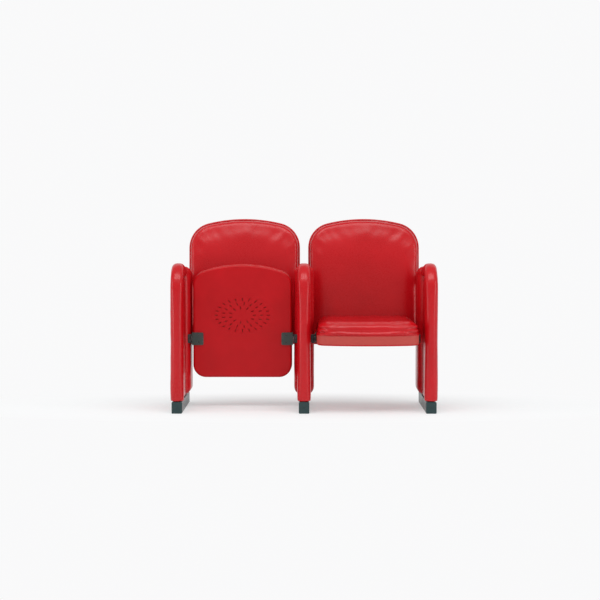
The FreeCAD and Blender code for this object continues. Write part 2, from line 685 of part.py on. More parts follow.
def make_sound_panel():
    """The oval plate with rings of slots that lets sound into the seat's underside."""
    under = -size("pan_under")
    upper = under + size("panel_plate")
    gaps = 2 * size("panel_gap")
    plate = oval_prism(size("panel_long") - gaps, size("panel_short") - gaps, under, upper)
    half_run = (size("slot_long") - size("slot_wide")) / 2
    radius = size("slot_wide") / 2
    slots = []
    for share in SLOT_RINGS:
        half_long = share * size("panel_long") / 2
        half_short = share * size("panel_short") / 2
        ring_length = 2 * math.pi * math.hypot(half_long, half_short) / math.sqrt(2)
        count = max(1, round(ring_length / size("slot_spacing")))
        for i in range(count):
            turn = 2 * math.pi * i / count
            x = half_long * math.cos(turn)
            y = half_short * math.sin(turn)
            slot = box(VEC(-half_run, -radius, under - 1), VEC(half_run, radius, upper + 1))
            for end in (-half_run, half_run):
                slot = slot.fuse(rod(radius, VEC(end, 0, under - 1), VEC(end, 0, upper + 1)))
            slot = slot.removeSplitter()
            slot.rotate(ORIGIN, Z_DIR, math.degrees(math.atan2(y, x)))
            slot.translate(VEC(x, y - size("panel_centre"), 0))
            slots.append(slot)
    return only_solid(plate.cut(Part.makeCompound(slots)))


def make_seat_frame():
    """The flat bar ring in the pan that the pivot brackets are screwed to."""
    low = -size("pan_under") + size("pan_wall")
    high = PAN_TOP - size("board_thick")

    def ring(inset, radius):
        half = size("frame_half") - inset
        front = -size("frame_front") + inset
        rear = size("frame_rear") - inset
        corners = [VEC(-half, front, low), VEC(half, front, low), VEC(half, rear, low), VEC(-half, rear, low)]
        return Part.Face(rounded_loop(corners, [radius] * 4)).extrude(Z_DIR * (high - low))

    bar = size("frame_bar")
    outer = ring(0, size("frame_corner"))
    inner = ring(bar, size("frame_corner") - bar)
    return only_solid(outer.cut(inner).cut(seat_screw_holes(low, high)))


def make_seat_board():
    inset = -(size("pan_wall") + size("board_gap"))
    return pan_prism(inset, inset, inset, PAN_TOP - size("board_thick"), PAN_TOP)


def make_seat_cushion():
    top = PAN_TOP + size("cushion_high")
    overhangs = [size("cushion_over_" + part) for part in ("side", "front", "rear")]
    pad = pan_prism(*overhangs, PAN_TOP, top)
    pad = pad.makeFillet(size("cushion_top_round"), level_edges(pad, top))
    return pad.makeFillet(size("cushion_low_round"), level_edges(pad, PAN_TOP))


def make_bracket():
    """The right hand pivot bracket: base plate, cheek with its stop slot, and the pin, one welded piece."""
    half = size("cheek_long") / 2
    inside = CHEEK_INSIDE
    outside = inside + size("cheek_thick")
    under = -size("pan_under")
    base_low = under - size("plate_thick")
    plate = box(VEC(outside - size("plate_wide"), -half, base_low), VEC(outside, half, under))
    inner = [e for e in plate.Edges if along(Z_DIR)(None, e.tangentAt(0)) and e.BoundBox.XMax < inside]
    plate = plate.makeFillet(size("plate_round"), inner)
    cheek = box(VEC(inside, -half, base_low), VEC(outside, half, size("cheek_top")))
    upper = [e for e in cheek.Edges if along(X_DIR)(None, e.tangentAt(0)) and e.BoundBox.ZMin > 0]
    cheek = cheek.makeFillet(size("cheek_round"), upper)
    pin = rod(size("pin_radius"), VEC(inside, 0, 0), VEC(outside + size("pin_reach"), 0, 0))
    weldment = plate.multiFuse([cheek, pin])
    for p in screw_places():
        start = VEC(p.x, p.y, base_low)
        sink_radius = size("seat_screw_head") / 2 + size("seat_screw_gap")
        weldment = weldment.cut(rod(sink_radius, start, start + Z_DIR * size("seat_screw_sink")))
    weldment = weldment.cut(seat_screw_holes(base_low, under))
    return only_solid(weldment.cut(stop_slot(inside - 1, outside + 1)).removeSplitter())


def stop_slot(low_x, high_x):
    """The curved slot that the stop stud runs in as the seat tips through its travel."""
    reach = size("stop_circle")
    half = size("stop_radius") + size("stop_gap")

    def at(radius, degrees):
        angle = math.radians(degrees)
        return VEC(low_x, radius * math.cos(angle), radius * math.sin(angle))

    first = size("stop_angle")
    last = first + size("tip_travel")
    middle = (first + last) / 2
    band = Part.Face(Part.Wire([
        arc(at(reach + half, first), at(reach + half, middle), at(reach + half, last)),
        line(at(reach + half, last), at(reach - half, last)),
        arc(at(reach - half, last), at(reach - half, middle), at(reach - half, first)),
        line(at(reach - half, first), at(reach + half, first)),
    ])).extrude(X_DIR * (high_x - low_x))
    across = X_DIR * (high_x - low_x)
    ends = [rod(half, at(reach, degrees), at(reach, degrees) + across) for degrees in (first, last)]
    return band.multiFuse(ends).removeSplitter()


def make_seat_screws():
    base_low = -size("pan_under") - size("plate_thick")
    screws = []
    for p in screw_places():
        for flip in (-1, 1):
            start = VEC(flip * p.x, p.y, base_low)
            head_end = start + Z_DIR * size("seat_screw_sink")
            head = rod(size("seat_screw_head") / 2, start, head_end)
            shank = rod(size("seat_screw_shank") / 2, head_end, head_end + Z_DIR * size("seat_screw_long"))
            screws.append(only_solid(head.fuse(shank)))
    return Part.makeCompound(screws)


def make_seat(name, x, tipped):
    turn = FreeCAD.Rotation(X_DIR, -size("tip_travel") if tipped else 0)
    place = FreeCAD.Placement(VEC(x, AXIS.y, AXIS.z), turn)
    bracket = make_bracket()
    pieces = {
        "pan": make_pan(), "sound_panel": make_sound_panel(), "frame": make_seat_frame(),
        "board": make_seat_board(), "cushion": make_seat_cushion(),
        "bracket_right": bracket, "bracket_left": mirrored(bracket), "screws": make_seat_screws(),
    }
    return [feature("%s_seat_%s" % (name, title), shape, place) for title, shape in pieces.items()]


# Backs

def back_outline(inset, y_start, y_run):
    """The back's front view outline as a prism: domed top, straight sides, slightly bowed lower edge."""
    half = size("back_half") - inset
    top = size("back_top") - inset
    corner = size("back_shoulder_round") - inset
    shoulder = size("back_top") - size("back_shoulder_drop")
    run = half - corner
    rise = top - shoulder
    big = (run ** 2 + rise ** 2 - corner ** 2) / (2 * (rise - corner))
    dome_centre = VEC(0, y_start, top - big)
    corner_centre = VEC(run, y_start, shoulder)
    touch = dome_centre + (corner_centre - dome_centre).normalize() * big
    start_angle = math.atan2(touch.z - shoulder, touch.x - run)
    middle = corner_centre + VEC(math.cos(start_angle / 2), 0, math.sin(start_angle / 2)) * corner
    side_top = VEC(half, y_start, shoulder)
    side_low = VEC(half, y_start, size("back_low_side") + inset)
    low_middle = VEC(0, y_start, size("back_low_middle") + inset)

    def flip(point):
        return VEC(-point.x, point.y, point.z)

    wire = Part.Wire([
        arc(flip(touch), VEC(0, y_start, top), touch),
        arc(touch, middle, side_top),
        line(side_top, side_low),
        arc(side_low, low_middle, flip(side_low)),
        line(flip(side_low), flip(side_top)),
        arc(flip(side_top), flip(middle), flip(touch)),
    ])
    prism = Part.Face(wire).extrude(Y_DIR * y_run)
    corners = [e for e in prism.Edges
               if along(Y_DIR)(None, e.tangentAt(0)) and e.BoundBox.ZMax < side_low.z + 1]
    return prism.makeFillet(size("back_low_round"), corners)


def back_profile(behind):
    """Edges of the back's side profile, a distance behind its front face: foot, bend and top."""
    foot = size("back_profile_foot")
    bend_high = size("back_bend_high")
    head = size("back_top") + size("back_pad")
    low_slope = math.tan(math.radians(size("back_lean_low")))
    top_slope = math.tan(math.radians(size("back_lean_top")))
    start = VEC(0, size("back_front") + behind, foot)
    corner = start + VEC(0, low_slope, 1) * (bend_high - foot)
    end = corner + VEC(0, top_slope, 1) * (head - bend_high)
    return rounded_path([start, corner, end], [size("back_bend_round")]), start, end


def back_layer(front, rear):
    """A layer of the back between two distances behind its front face, wider than the back itself."""
    front_edges, front_foot, front_head = back_profile(front)
    rear_edges, rear_foot, rear_head = back_profile(rear)
    edges = front_edges + rear_edges + [line(front_foot, rear_foot), line(front_head, rear_head)]
    wire = Part.Wire(Part.__sortEdges__(edges))
    wide = 3 * size("back_half")
    layer = Part.Face(wire).extrude(X_DIR * wide)
    layer.translate(X_DIR * (-wide / 2))
    return layer


def rim_edges(shape, behind):
    """The edges round the outside of a layer's face at a distance behind the back's front."""
    surface_edges, foot, head = back_profile(behind)
    wire = Part.Wire(surface_edges)
    wide = 3 * size("back_half")
    surface = wire.extrude(X_DIR * wide)
    surface.translate(X_DIR * (-wide / 2))
    shoulder = size("back_top") - size("back_shoulder_drop")
    found = []
    for edge in shape.Edges:
        middle = edge.valueAt((edge.FirstParameter + edge.LastParameter) / 2)
        ends = [edge.valueAt(edge.FirstParameter), edge.valueAt(edge.LastParameter)]
        level = abs(ends[0].z - ends[1].z) < SAME_PLACE
        across = level and abs(ends[0].x - ends[1].x) > size("back_half") * 1.9
        inside = across and foot.z + size("back_pad") < middle.z < shoulder + 1
        on_face = all(Part.Vertex(p).distToShape(surface)[0] < SAME_PLACE for p in ends + [middle])
        if on_face and not inside:
            found.append(edge)
    return found


def back_piece(front, rear, inset, rounding=None):
    outline = back_outline(inset, 0, 2 * size("back_front"))
    piece = only_solid(back_layer(front, rear).common(outline))
    if rounding:
        face, radius = rounding
        piece = piece.makeFillet(radius, rim_edges(piece, face))
    return piece


def lean_frame():
    """Where the rear of the back's lower run starts, and the directions up it and out of it."""
    lean = math.radians(size("back_lean_low"))
    behind = size("back_pad") + size("back_board") + size("back_cover")
    foot = VEC(0, size("back_front") + behind, size("back_profile_foot"))
    up = VEC(0, math.sin(lean), math.cos(lean))
    out = VEC(0, math.cos(lean), -math.sin(lean))
    return foot, up, out


def on_lean(height):
    """The point of the back's rear face at a height, on the plane X = 0."""
    foot, up, out = lean_frame()
    return foot + up * ((height - foot.z) / up.z)


def back_screw_heights():
    inset = size("back_screw_inset")
    return [size("bracket_low") + inset, size("bracket_high") - inset]


def rear_normal():
    return lean_frame()[2]


def back_screw_points():
    """The screw positions on the rear face, one list for each arm."""
    places = {}
    for name, x in ARM_X.items():
        outs = [x + sign * size("back_screw_out") for sign in wing_sides(name)]
        places[name] = [on_lean(z) + X_DIR * out for out in outs for z in back_screw_heights()]
    return places


def wing_sides(name):
    """The sides of an arm that carry a back: +1 has a back to the right of the arm."""
    return {"left": [1], "centre": [-1, 1], "right": [-1]}[name]


def screw_holes(radius, before, behind):
    """Rods along every back screw, from a distance in front of the rear face to one behind it."""
    out = rear_normal()
    places = [p for points in back_screw_points().values() for p in points]
    return Part.makeCompound([rod(radius, p - out * before, p + out * behind) for p in places])


def make_back(name, x):
    pad = size("back_pad")
    board_rear = pad + size("back_board")
    cover_rear = board_rear + size("back_cover")
    place = FreeCAD.Placement(VEC(x, 0, 0), FreeCAD.Rotation())
    holes = screw_holes(size("back_screw_hole") / 2, 2 * size("back_board") + size("back_cover"), 1)
    holes.translate(X_DIR * -x)
    cushion = back_piece(0, pad, 0, (0, size("back_pad_round")))
    board = back_piece(pad, board_rear, size("back_board_inset"))
    cover = back_piece(board_rear, cover_rear, 0, (cover_rear, size("back_cover_round")))
    return [
        feature("back_cushion_" + name, cushion.cut(holes), place),
        feature("back_board_" + name, board.cut(holes), place),
        feature("back_cover_" + name, cover.cut(holes), place),
    ]


def make_back_bracket(name, x):
    """A plate welded to the arm's rear leg that runs back and carries a wing behind each back."""
    out = rear_normal()
    thick = size("bracket_plate")
    low = on_lean(size("bracket_low"))
    high = on_lean(size("bracket_high"))
    leg_back = LEG_REAR + size("tube_size") / 2
    corners = [VEC(0, leg_back, low.z), low + out * thick, high + out * thick, VEC(0, leg_back, high.z)]
    web = Part.Face(Part.makePolygon(corners + corners[:1])).extrude(X_DIR * thick)
    web.translate(X_DIR * (-thick / 2))
    arm_high = size("bracket_arm")
    window_corners = [
        VEC(0, leg_back + arm_high, low.z + arm_high),
        VEC(0, on_lean(low.z + arm_high).y - arm_high / 2, low.z + arm_high),
        VEC(0, on_lean(high.z - arm_high).y - arm_high / 2, high.z - arm_high),
        VEC(0, leg_back + arm_high, high.z - arm_high),
    ]
    window_face = Part.Face(rounded_loop(window_corners, [size("bracket_window_round")] * 4))
    window = window_face.extrude(X_DIR * 2 * thick)
    window.translate(-X_DIR * thick)
    web = web.cut(window)
    signs = wing_sides(name)
    left = -size("bracket_wing") if -1 in signs else -thick / 2
    right = size("bracket_wing") if 1 in signs else thick / 2
    wing_corners = [low, low + out * thick, high + out * thick, high]
    wing = Part.Face(Part.makePolygon(wing_corners + wing_corners[:1])).extrude(X_DIR * (right - left))
    wing.translate(X_DIR * left)
    wing_round = [e for e in wing.Edges if abs(abs(e.tangentAt(0).dot(out)) - 1) < 1e-6
                  and abs(e.BoundBox.XMax) > size("bracket_wing") - 1]
    wing = wing.makeFillet(2 * thick, wing_round)
    holes = screw_holes(size("back_screw_hole") / 2, 1, 2 * thick)
    holes.translate(X_DIR * -x)
    shape = only_solid(web.fuse(wing).cut(holes))
    return feature("back_bracket_" + name, shape, FreeCAD.Placement(VEC(x, 0, 0), FreeCAD.Rotation()))


def make_back_screws():
    out = rear_normal()
    thick = size("bracket_plate")
    grip = size("back_cover") + size("back_board")
    screws = []
    for points in back_screw_points().values():
        for p in points:
            seat = p + out * thick
            head = rod(size("back_screw_head") / 2, seat, seat + out * size("back_screw_head_high"))
            shank = rod(size("back_screw_shank") / 2, p - out * grip, seat)
            screws.append(only_solid(head.fuse(shank)))
    return feature("back_screws", Part.makeCompound(screws))


nodes = []
for arm_name, arm_x in ARM_X.items():
    nodes.append(make_foot(arm_name, arm_x))
    nodes.append(make_foot_caps(arm_name, arm_x))
    nodes.extend(make_arm(arm_name, arm_x, wing_sides(arm_name)))
    nodes.append(make_back_bracket(arm_name, arm_x))
BEARINGS = [("left_outer", "left", 1), ("left_inner", "centre", -1),
            ("right_inner", "centre", 1), ("right_outer", "right", -1)]
for bearing_name, arm_name, bearing_side in BEARINGS:
    nodes.extend(make_bearing(bearing_name, ARM_X[arm_name], bearing_side))
for seat_name, seat_x in SEAT_X.items():
    nodes.extend(make_back(seat_name, seat_x))
    nodes.extend(make_seat(seat_name, seat_x, tipped=seat_name == "left"))
nodes.append(make_back_screws())
doc.recompute()

for item in doc.Objects:
    if "Invalid" in item.State or "Error" in item.State:
        raise RuntimeError("failed: " + item.Label)
for node in nodes:
    if node.Shape.isNull() or not node.Shape.isValid() or not node.Shape.Solids:
        raise RuntimeError("bad shape: " + node.Label)

os.makedirs("parts", exist_ok=True)
for node in nodes:
    node.Shape.exportStep("parts/%s.step" % node.Label)
print("wrote %d parts" % len(nodes))
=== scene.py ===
import json
import math
from functools import partial

import bmesh
import bpy
import numpy as np
from mathutils import Matrix, Vector, noise
from mathutils.geometry import convex_hull_2d


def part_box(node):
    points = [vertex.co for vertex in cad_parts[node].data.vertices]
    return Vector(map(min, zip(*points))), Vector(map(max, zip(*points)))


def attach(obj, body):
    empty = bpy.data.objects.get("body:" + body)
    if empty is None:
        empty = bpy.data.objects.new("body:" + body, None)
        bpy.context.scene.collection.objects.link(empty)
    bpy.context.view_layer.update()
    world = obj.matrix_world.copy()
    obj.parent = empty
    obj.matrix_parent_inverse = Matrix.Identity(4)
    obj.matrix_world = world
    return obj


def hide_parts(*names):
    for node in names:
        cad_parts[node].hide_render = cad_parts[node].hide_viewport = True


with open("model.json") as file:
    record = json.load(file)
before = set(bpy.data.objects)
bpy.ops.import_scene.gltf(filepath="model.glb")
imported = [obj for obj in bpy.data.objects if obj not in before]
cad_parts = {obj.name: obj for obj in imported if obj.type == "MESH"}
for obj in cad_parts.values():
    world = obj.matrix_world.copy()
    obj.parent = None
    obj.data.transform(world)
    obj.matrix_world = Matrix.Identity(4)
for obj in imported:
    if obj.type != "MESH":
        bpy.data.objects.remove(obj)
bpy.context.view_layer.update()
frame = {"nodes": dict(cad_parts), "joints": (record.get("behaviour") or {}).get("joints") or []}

# Two tip up auditorium seats that share their middle arm, in metres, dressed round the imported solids.
# The left seat stands tipped up and the right seat is folded down.

bl_info = {
    "name": "Tip Up Seat Pair",
    "version": (1, 0, 0),
    "blender": (4, 5, 0),
    "location": "3D View > Sidebar > Seat Pair",
    "description": "Dresses two tip up auditorium seats with leather, welts, paint and a plain studio",
    "category": "Object",
}

NODES = frame["nodes"]
SEATS = {joint["child"]: joint for joint in frame["joints"]}
AXES = {seat: Vector(joint["pos_m"]) for seat, joint in SEATS.items()}
ARMS = ("left", "centre", "right")
SIDES = ("left", "right")


def node_middle(name):
    low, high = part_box(name)
    return (low + high) / 2


ARM_X = {arm: node_middle("foot_" + arm).x for arm in ARMS}
SEAT_X = {side: AXES[side + "_seat"].x for side in SIDES}


# Sizes and colours that a user would change

class StudioSettings(bpy.types.PropertyGroup):
    camera_gap: bpy.props.FloatProperty(
        name="Camera gap", description="Lens to the front of the arms", default=6.797, unit="LENGTH")
    camera_height: bpy.props.FloatProperty(
        name="Camera height", description="Lens above the floor", default=0.850, unit="LENGTH")
    lens: bpy.props.FloatProperty(
        name="Lens", description="Focal length on a 36 mm sensor", default=90.0, unit="CAMERA")
    aim_x: bpy.props.FloatProperty(
        name="Aim across", description="Where the camera looks, across the arms' front",
        default=-0.0185, unit="LENGTH")
    aim_z: bpy.props.FloatProperty(
        name="Aim height", description="Where the camera looks, above the floor",
        default=0.5193, unit="LENGTH")
    floor_colour: bpy.props.FloatVectorProperty(
        name="Floor", description="Colour of the floor and backdrop", subtype="COLOR", size=3,
        default=(0.92, 0.965, 0.97))
    page_white: bpy.props.FloatVectorProperty(
        name="Page white", description="Colour that the camera sees of the floor and backdrop",
        subtype="COLOR", size=3, default=(0.95, 0.95, 0.955))
    page_share: bpy.props.FloatProperty(
        name="Page share", description="How far the page white covers the floor's own light near the seats",
        default=0.35, subtype="FACTOR")
    page_near: bpy.props.FloatProperty(
        name="Shadow reach", description="Distance over which the floor shows its own shadows",
        default=0.16,
        unit="LENGTH")
    page_far: bpy.props.FloatProperty(
        name="Page from", description="Distance beyond which the floor is plain page white", default=0.62,
        unit="LENGTH")
    key_power: bpy.props.FloatProperty(
        name="Front light", description="Power of the broad soft light over the camera",
        default=92.0, unit="POWER")
    left_power: bpy.props.FloatProperty(
        name="Left strip", description="Power of the tall soft light at the left",
        default=15.0, unit="POWER")
    right_power: bpy.props.FloatProperty(
        name="Right strip", description="Power of the tall soft light at the right",
        default=15.0, unit="POWER")
    sky_strength: bpy.props.FloatProperty(
        name="Fill", description="Strength of the even light from all round",
        default=0.46, subtype="FACTOR")


class LeatherSettings(bpy.types.PropertyGroup):
    colour: bpy.props.FloatVectorProperty(
        name="Leather", description="Red of the leather", subtype="COLOR", size=3,
        default=(0.61, 0.004, 0.010))
    # The red where the leather is darker: in its own slow patches, and in the grain's creases as painted
    # shade.
    patch_and_crease_shade_colour: bpy.props.FloatVectorProperty(
        name="Deep red", description="Red in the creases and darker patches", subtype="COLOR", size=3,
        default=(0.52, 0.003, 0.007))
    # Paler red painted on the pan's upright wall: a painted sheen, where the leather would mirror the pale
    # floor.
    painted_sheen_colour: bpy.props.FloatVectorProperty(
        name="Rim", description="Paler red on the upright wall of the seat pan", subtype="COLOR", size=3,
        default=(0.54, 0.075, 0.062))
    thread_colour: bpy.props.FloatVectorProperty(
        name="Thread", description="Colour of the sewing thread", subtype="COLOR", size=3,
        default=(0.42, 0.006, 0.010))
    grain_cells: bpy.props.FloatProperty(
        name="Grain", description="Pebbles of grain to the metre", default=620.0)
    crease_cells: bpy.props.FloatProperty(
        name="Creases", description="Fine creases to the metre", default=95.0)
    grain_depth: bpy.props.FloatProperty(
        name="Grain depth", description="Depth of the grain", default=0.00022, unit="LENGTH")


class PadSettings(bpy.types.PropertyGroup):
    weave_step: bpy.props.FloatProperty(
        name="Mesh step", description="Spacing of the points on a pad before the last subdivision",
        default=0.0062,
        unit="LENGTH")
    stuffing_pressure: bpy.props.FloatProperty(
        name="Pressure", description="Pressure of the stuffing in the cloth run", default=4.0)
    start_inside: bpy.props.FloatProperty(
        name="Start inside", description="How far inside its solid a pad starts",
        default=0.004, unit="LENGTH")
    fold_height: bpy.props.FloatProperty(
        name="Fold height", description="Height of the folds at the seat's front corners", default=0.0024,
        unit="LENGTH")
    undulation: bpy.props.FloatProperty(
        name="Undulation", description="Height of the slow waves in stretched leather", default=0.0007,
        unit="LENGTH")
    welt_radius: bpy.props.FloatProperty(
        name="Welt radius", description="Radius of the piping at the pan's rim",
        default=0.0026, unit="LENGTH")
    stitch_pitch: bpy.props.FloatProperty(
        name="Stitch pitch", description="Distance from one stitch to the next",
        default=0.0070, unit="LENGTH")


class ArmSettings(bpy.types.PropertyGroup):
    front_round: bpy.props.FloatProperty(
        name="Front round", description="Outside radius over the top of the arm's front", default=0.125,
        unit="LENGTH")
    slope: bpy.props.FloatProperty(
        name="Slope", description="Fall of the arm's top to the rear",
        default=math.radians(6.5), unit="ROTATION")
    roll_deep: bpy.props.FloatProperty(
        name="Roll depth", description="Depth of the padded roll", default=0.055, unit="LENGTH")
    roll_nose: bpy.props.FloatProperty(
        name="Roll nose", description="Corner radius on the outside of the roll",
        default=0.024, unit="LENGTH")
    roll_tuck: bpy.props.FloatProperty(
        name="Roll tuck", description="Corner radius on the inside of the roll",
        default=0.007, unit="LENGTH")
    roll_end: bpy.props.FloatProperty(
        name="Roll end", description="How far behind the origin the top roll runs",
        default=0.040, unit="LENGTH")


SETTINGS = {"studio": StudioSettings, "leather": LeatherSettings, "pads": PadSettings, "arms": ArmSettings}


def chosen(kind):
    return getattr(bpy.context.scene, "seat_pair_" + kind)


# Shader groups that several finishes share

def new_group(name, inputs, outputs):
    group = bpy.data.node_groups.new(name, "ShaderNodeTree")
    for label, default in inputs:
        socket = group.interface.new_socket(label, in_out="INPUT", socket_type="NodeSocketFloat")
        socket.default_value = default
    for label in outputs:
        group.interface.new_socket(label, in_out="OUTPUT", socket_type="NodeSocketFloat")
    return group, group.nodes.new("NodeGroupInput"), group.nodes.new("NodeGroupOutput")


def link(tree, source, target):
    tree.links.new(source, target)


def math_node(tree, kind, first, second):
    """A Math node; each operand is a number or an output socket."""
    node = tree.nodes.new("ShaderNodeMath")
    node.operation = kind
    for socket, value in zip(node.inputs, (first, second)):
        if isinstance(value, (int, float)):
            socket.default_value = value
        else:
            link(tree, value, socket)
    return node.outputs[0]


def remap(tree, value, low, high, to_low, to_high):
    """A Map Range node: what runs from low to high comes out from to_low to to_high."""
    node = tree.nodes.new("ShaderNodeMapRange")
    node.inputs["From Min"].default_value = low
    node.inputs["From Max"].default_value = high
    node.inputs["To Min"].default_value = to_low
    node.inputs["To Max"].default_value = to_high
    link(tree, value, node.inputs["Value"])
    return node.outputs["Result"]


def noise_node(tree, place, scale, detail=2.0):
    node = tree.nodes.new("ShaderNodeTexNoise")
    node.inputs["Detail"].default_value = detail
    link(tree, place, node.inputs["Vector"])
    if isinstance(scale, (int, float)):
        node.inputs["Scale"].default_value = scale
    else:
        link(tree, scale, node.inputs["Scale"])
    return node.outputs["Fac"]


def leather_grain_group():
    """Pebbled grain with finer creases, and slow patches of colour and gloss. Its colour mask is also darker
    at the pebbles' edges and in the creases, which is painted shade.
    """
    values = (("Cells", 600.0), ("Creases", 90.0), ("Patches", 6.0))
    group, given, out = new_group("leather_grain", values, ("Height", "Tone", "Gloss"))
    place = group.nodes.new("ShaderNodeTexCoord").outputs["Object"]
    pebbles = group.nodes.new("ShaderNodeTexVoronoi")
    pebbles.feature = "DISTANCE_TO_EDGE"
    link(group, place, pebbles.inputs["Vector"])
    link(group, given.outputs["Cells"], pebbles.inputs["Scale"])
    domes = remap(group, pebbles.outputs["Distance"], 0.0, 0.16, 0.0, 1.0)
    creases = noise_node(group, place, given.outputs["Creases"], 4.0)
    ridges = math_node(group, "ABSOLUTE", math_node(group, "SUBTRACT", creases, 0.5), 0.0)
    furrows = remap(group, ridges, 0.0, 0.07, 0.0, 1.0)
    height = math_node(group, "ADD", math_node(group, "MULTIPLY", domes, 0.6),
                       math_node(group, "MULTIPLY", furrows, 0.4))
    link(group, height, out.inputs["Height"])
    patches = noise_node(group, place, given.outputs["Patches"], 3.0)
    spread = remap(group, patches, 0.3, 0.7, 0.0, 1.0)
    # The colour mask: slow patches of the leather's own uneven colour, and, through the grain's height,
    # painted shade at the pebbles' edges and in the fine creases.
    tone_and_crease_shade = math_node(group, "ADD", math_node(group, "MULTIPLY", spread, 0.75),
                     math_node(group, "MULTIPLY", height, 0.25))
    link(group, tone_and_crease_shade, out.inputs["Tone"])
    gloss = math_node(group, "ADD", math_node(group, "MULTIPLY", height, 0.35),
                      math_node(group, "MULTIPLY", patches, 0.65))
    link(group, gloss, out.inputs["Gloss"])
    return group


def fine_texture_group():
    """The orange peel of powder coat or the fine texture of moulded plastic, with slow patches."""
    values = (("Grains", 900.0), ("Patches", 14.0))
    group, given, out = new_group("fine_texture", values, ("Height", "Patch"))
    place = group.nodes.new("ShaderNodeTexCoord").outputs["Object"]
    link(group, noise_node(group, place, given.outputs["Grains"], 2.0), out.inputs["Height"])
    link(group, noise_node(group, place, given.outputs["Patches"], 4.0), out.inputs["Patch"])
    return group


def edge_wear_group():
    """A mask of rubbed edges: sharp convex edges, broken up by noise."""
    group, given, out = new_group("edge_wear", (("Reach", 0.54), ("Break up", 60.0)), ("Wear",))
    place = group.nodes.new("ShaderNodeTexCoord").outputs["Object"]
    point = group.nodes.new("ShaderNodeNewGeometry").outputs["Pointiness"]
    sharp = remap(group, math_node(group, "SUBTRACT", point, given.outputs["Reach"]), 0.0, 0.06, 0.0, 1.0)
    broken = remap(group, noise_node(group, place, given.outputs["Break up"], 5.0), 0.45, 0.6, 0.0, 1.0)
    link(group, math_node(group, "MULTIPLY", sharp, broken), out.inputs["Wear"])
    return group


GROUP_MAKERS = {
    "leather_grain": leather_grain_group, "fine_texture": fine_texture_group, "edge_wear": edge_wear_group,
}


def placed_group(tree, name, **values):
    """A shared group placed in a material with its own values."""
    group = bpy.data.node_groups.get(name) or GROUP_MAKERS[name]()
    node = tree.nodes.new("ShaderNodeGroup")
    node.node_tree = group
    for label, value in values.items():
        node.inputs[label.replace("_", " ")].default_value = value
    return node


# Finishes

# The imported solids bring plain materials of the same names, so these have a mark in front.
FINISH_MARK = "dressed_"


def new_finish(name, roughness, specular=0.5, metallic=0.0):
    material = bpy.data.materials.new(FINISH_MARK + name)
    material.use_nodes = True
    shader = material.node_tree.nodes["Principled BSDF"]
    shader.inputs["Roughness"].default_value = roughness
    shader.inputs["Specular IOR Level"].default_value = specular
    shader.inputs["Metallic"].default_value = metallic
    return material, material.node_tree, shader


def blend_colours(tree, mask, first, second, target):
    mixer = tree.nodes.new("ShaderNodeMix")
    mixer.data_type = "RGBA"
    low, high = [socket for socket in mixer.inputs if socket.enabled and socket.type == "RGBA"]
    low.default_value = (*first, 1.0)
    high.default_value = (*second, 1.0)
    link(tree, mask, mixer.inputs["Factor"])
    result = [socket for socket in mixer.outputs if socket.enabled][0]
    link(tree, result, target)
    return low, result


def bump(tree, shader, height, strength, distance):
    node = tree.nodes.new("ShaderNodeBump")
    node.inputs["Strength"].default_value = strength
    node.inputs["Distance"].default_value = distance
    link(tree, height, node.inputs["Height"])
    link(tree, node.outputs["Normal"], shader.inputs["Normal"])


def leather_grain(tree, patches):
    look = chosen("leather")
    cells = {"Cells": look.grain_cells, "Creases": look.crease_cells, "Patches": patches}
    return placed_group(tree, "leather_grain", **cells)


def red_leather():
    """Smooth upholstery leather with a fine pebbled grain and a soft gloss."""
    look = chosen("leather")
    material, tree, shader = new_finish("red_leather", 0.26, specular=0.40)
    grain = leather_grain(tree, patches=5.0)
    # Darker in slow patches of the leather's own colour, and in the grain's creases as painted shade.
    blend_colours(tree, grain.outputs["Tone"], look.patch_and_crease_shade_colour, look.colour, shader.inputs["Base Color"])
    link(tree, remap(tree, grain.outputs["Gloss"], 0.2, 0.8, 0.24, 0.32), shader.inputs["Roughness"])
    bump(tree, shader, grain.outputs["Height"], 0.10, look.grain_depth)
    return material


def pan_leather(side):
    """The seat pan's covering: leather underneath, and a paler matt band round its upright wall, which is a
    painted sheen.
    """
    look = chosen("leather")
    material, tree, shader = new_finish("pan_leather_" + side, 0.40, specular=0.25)
    grain = leather_grain(tree, patches=8.0)
    upright = (seat_place(side).to_3x3() @ Vector((0.0, 0.0, 1.0)))[:]
    facing = tree.nodes.new("ShaderNodeVectorMath")
    facing.operation = "DOT_PRODUCT"
    facing.inputs[1].default_value = upright
    link(tree, tree.nodes.new("ShaderNodeTexCoord").outputs["Normal"], facing.inputs[0])
    level = math_node(tree, "ABSOLUTE", facing.outputs["Value"], 0.0)
    # The upright wall: a mask for a rougher finish and for the paler painted sheen.
    wall = remap(tree, level, 0.18, 0.42, 1.0, 0.0)
    base = shader.inputs["Base Color"]
    # Under the wall: darker in slow patches of the leather's own colour, and in the grain's creases as
    # painted shade.
    under = blend_colours(tree, grain.outputs["Tone"], look.patch_and_crease_shade_colour, look.colour, base)[1]
    # Paler colour on the upright wall: a painted sheen.
    plain = blend_colours(tree, wall, look.colour, look.painted_sheen_colour, base)[0]
    link(tree, under, plain)
    link(tree, remap(tree, wall, 0.0, 1.0, 0.36, 0.52), shader.inputs["Roughness"])
    bump(tree, shader, grain.outputs["Height"], 0.10, look.grain_depth)
    return material


def red_moulding():
    """The moulded sound panel, finished a little deeper and finer than the leather round it."""
    look = chosen("leather")
    material, tree, shader = new_finish("red_moulding", 0.42, specular=0.25)
    skin = placed_group(tree, "fine_texture", Grains=1100.0, Patches=9.0)
    blend_colours(tree, skin.outputs["Patch"], look.patch_and_crease_shade_colour, look.colour, shader.inputs["Base Color"])
    bump(tree, shader, skin.outputs["Height"], 0.25, 0.0002)
    return material


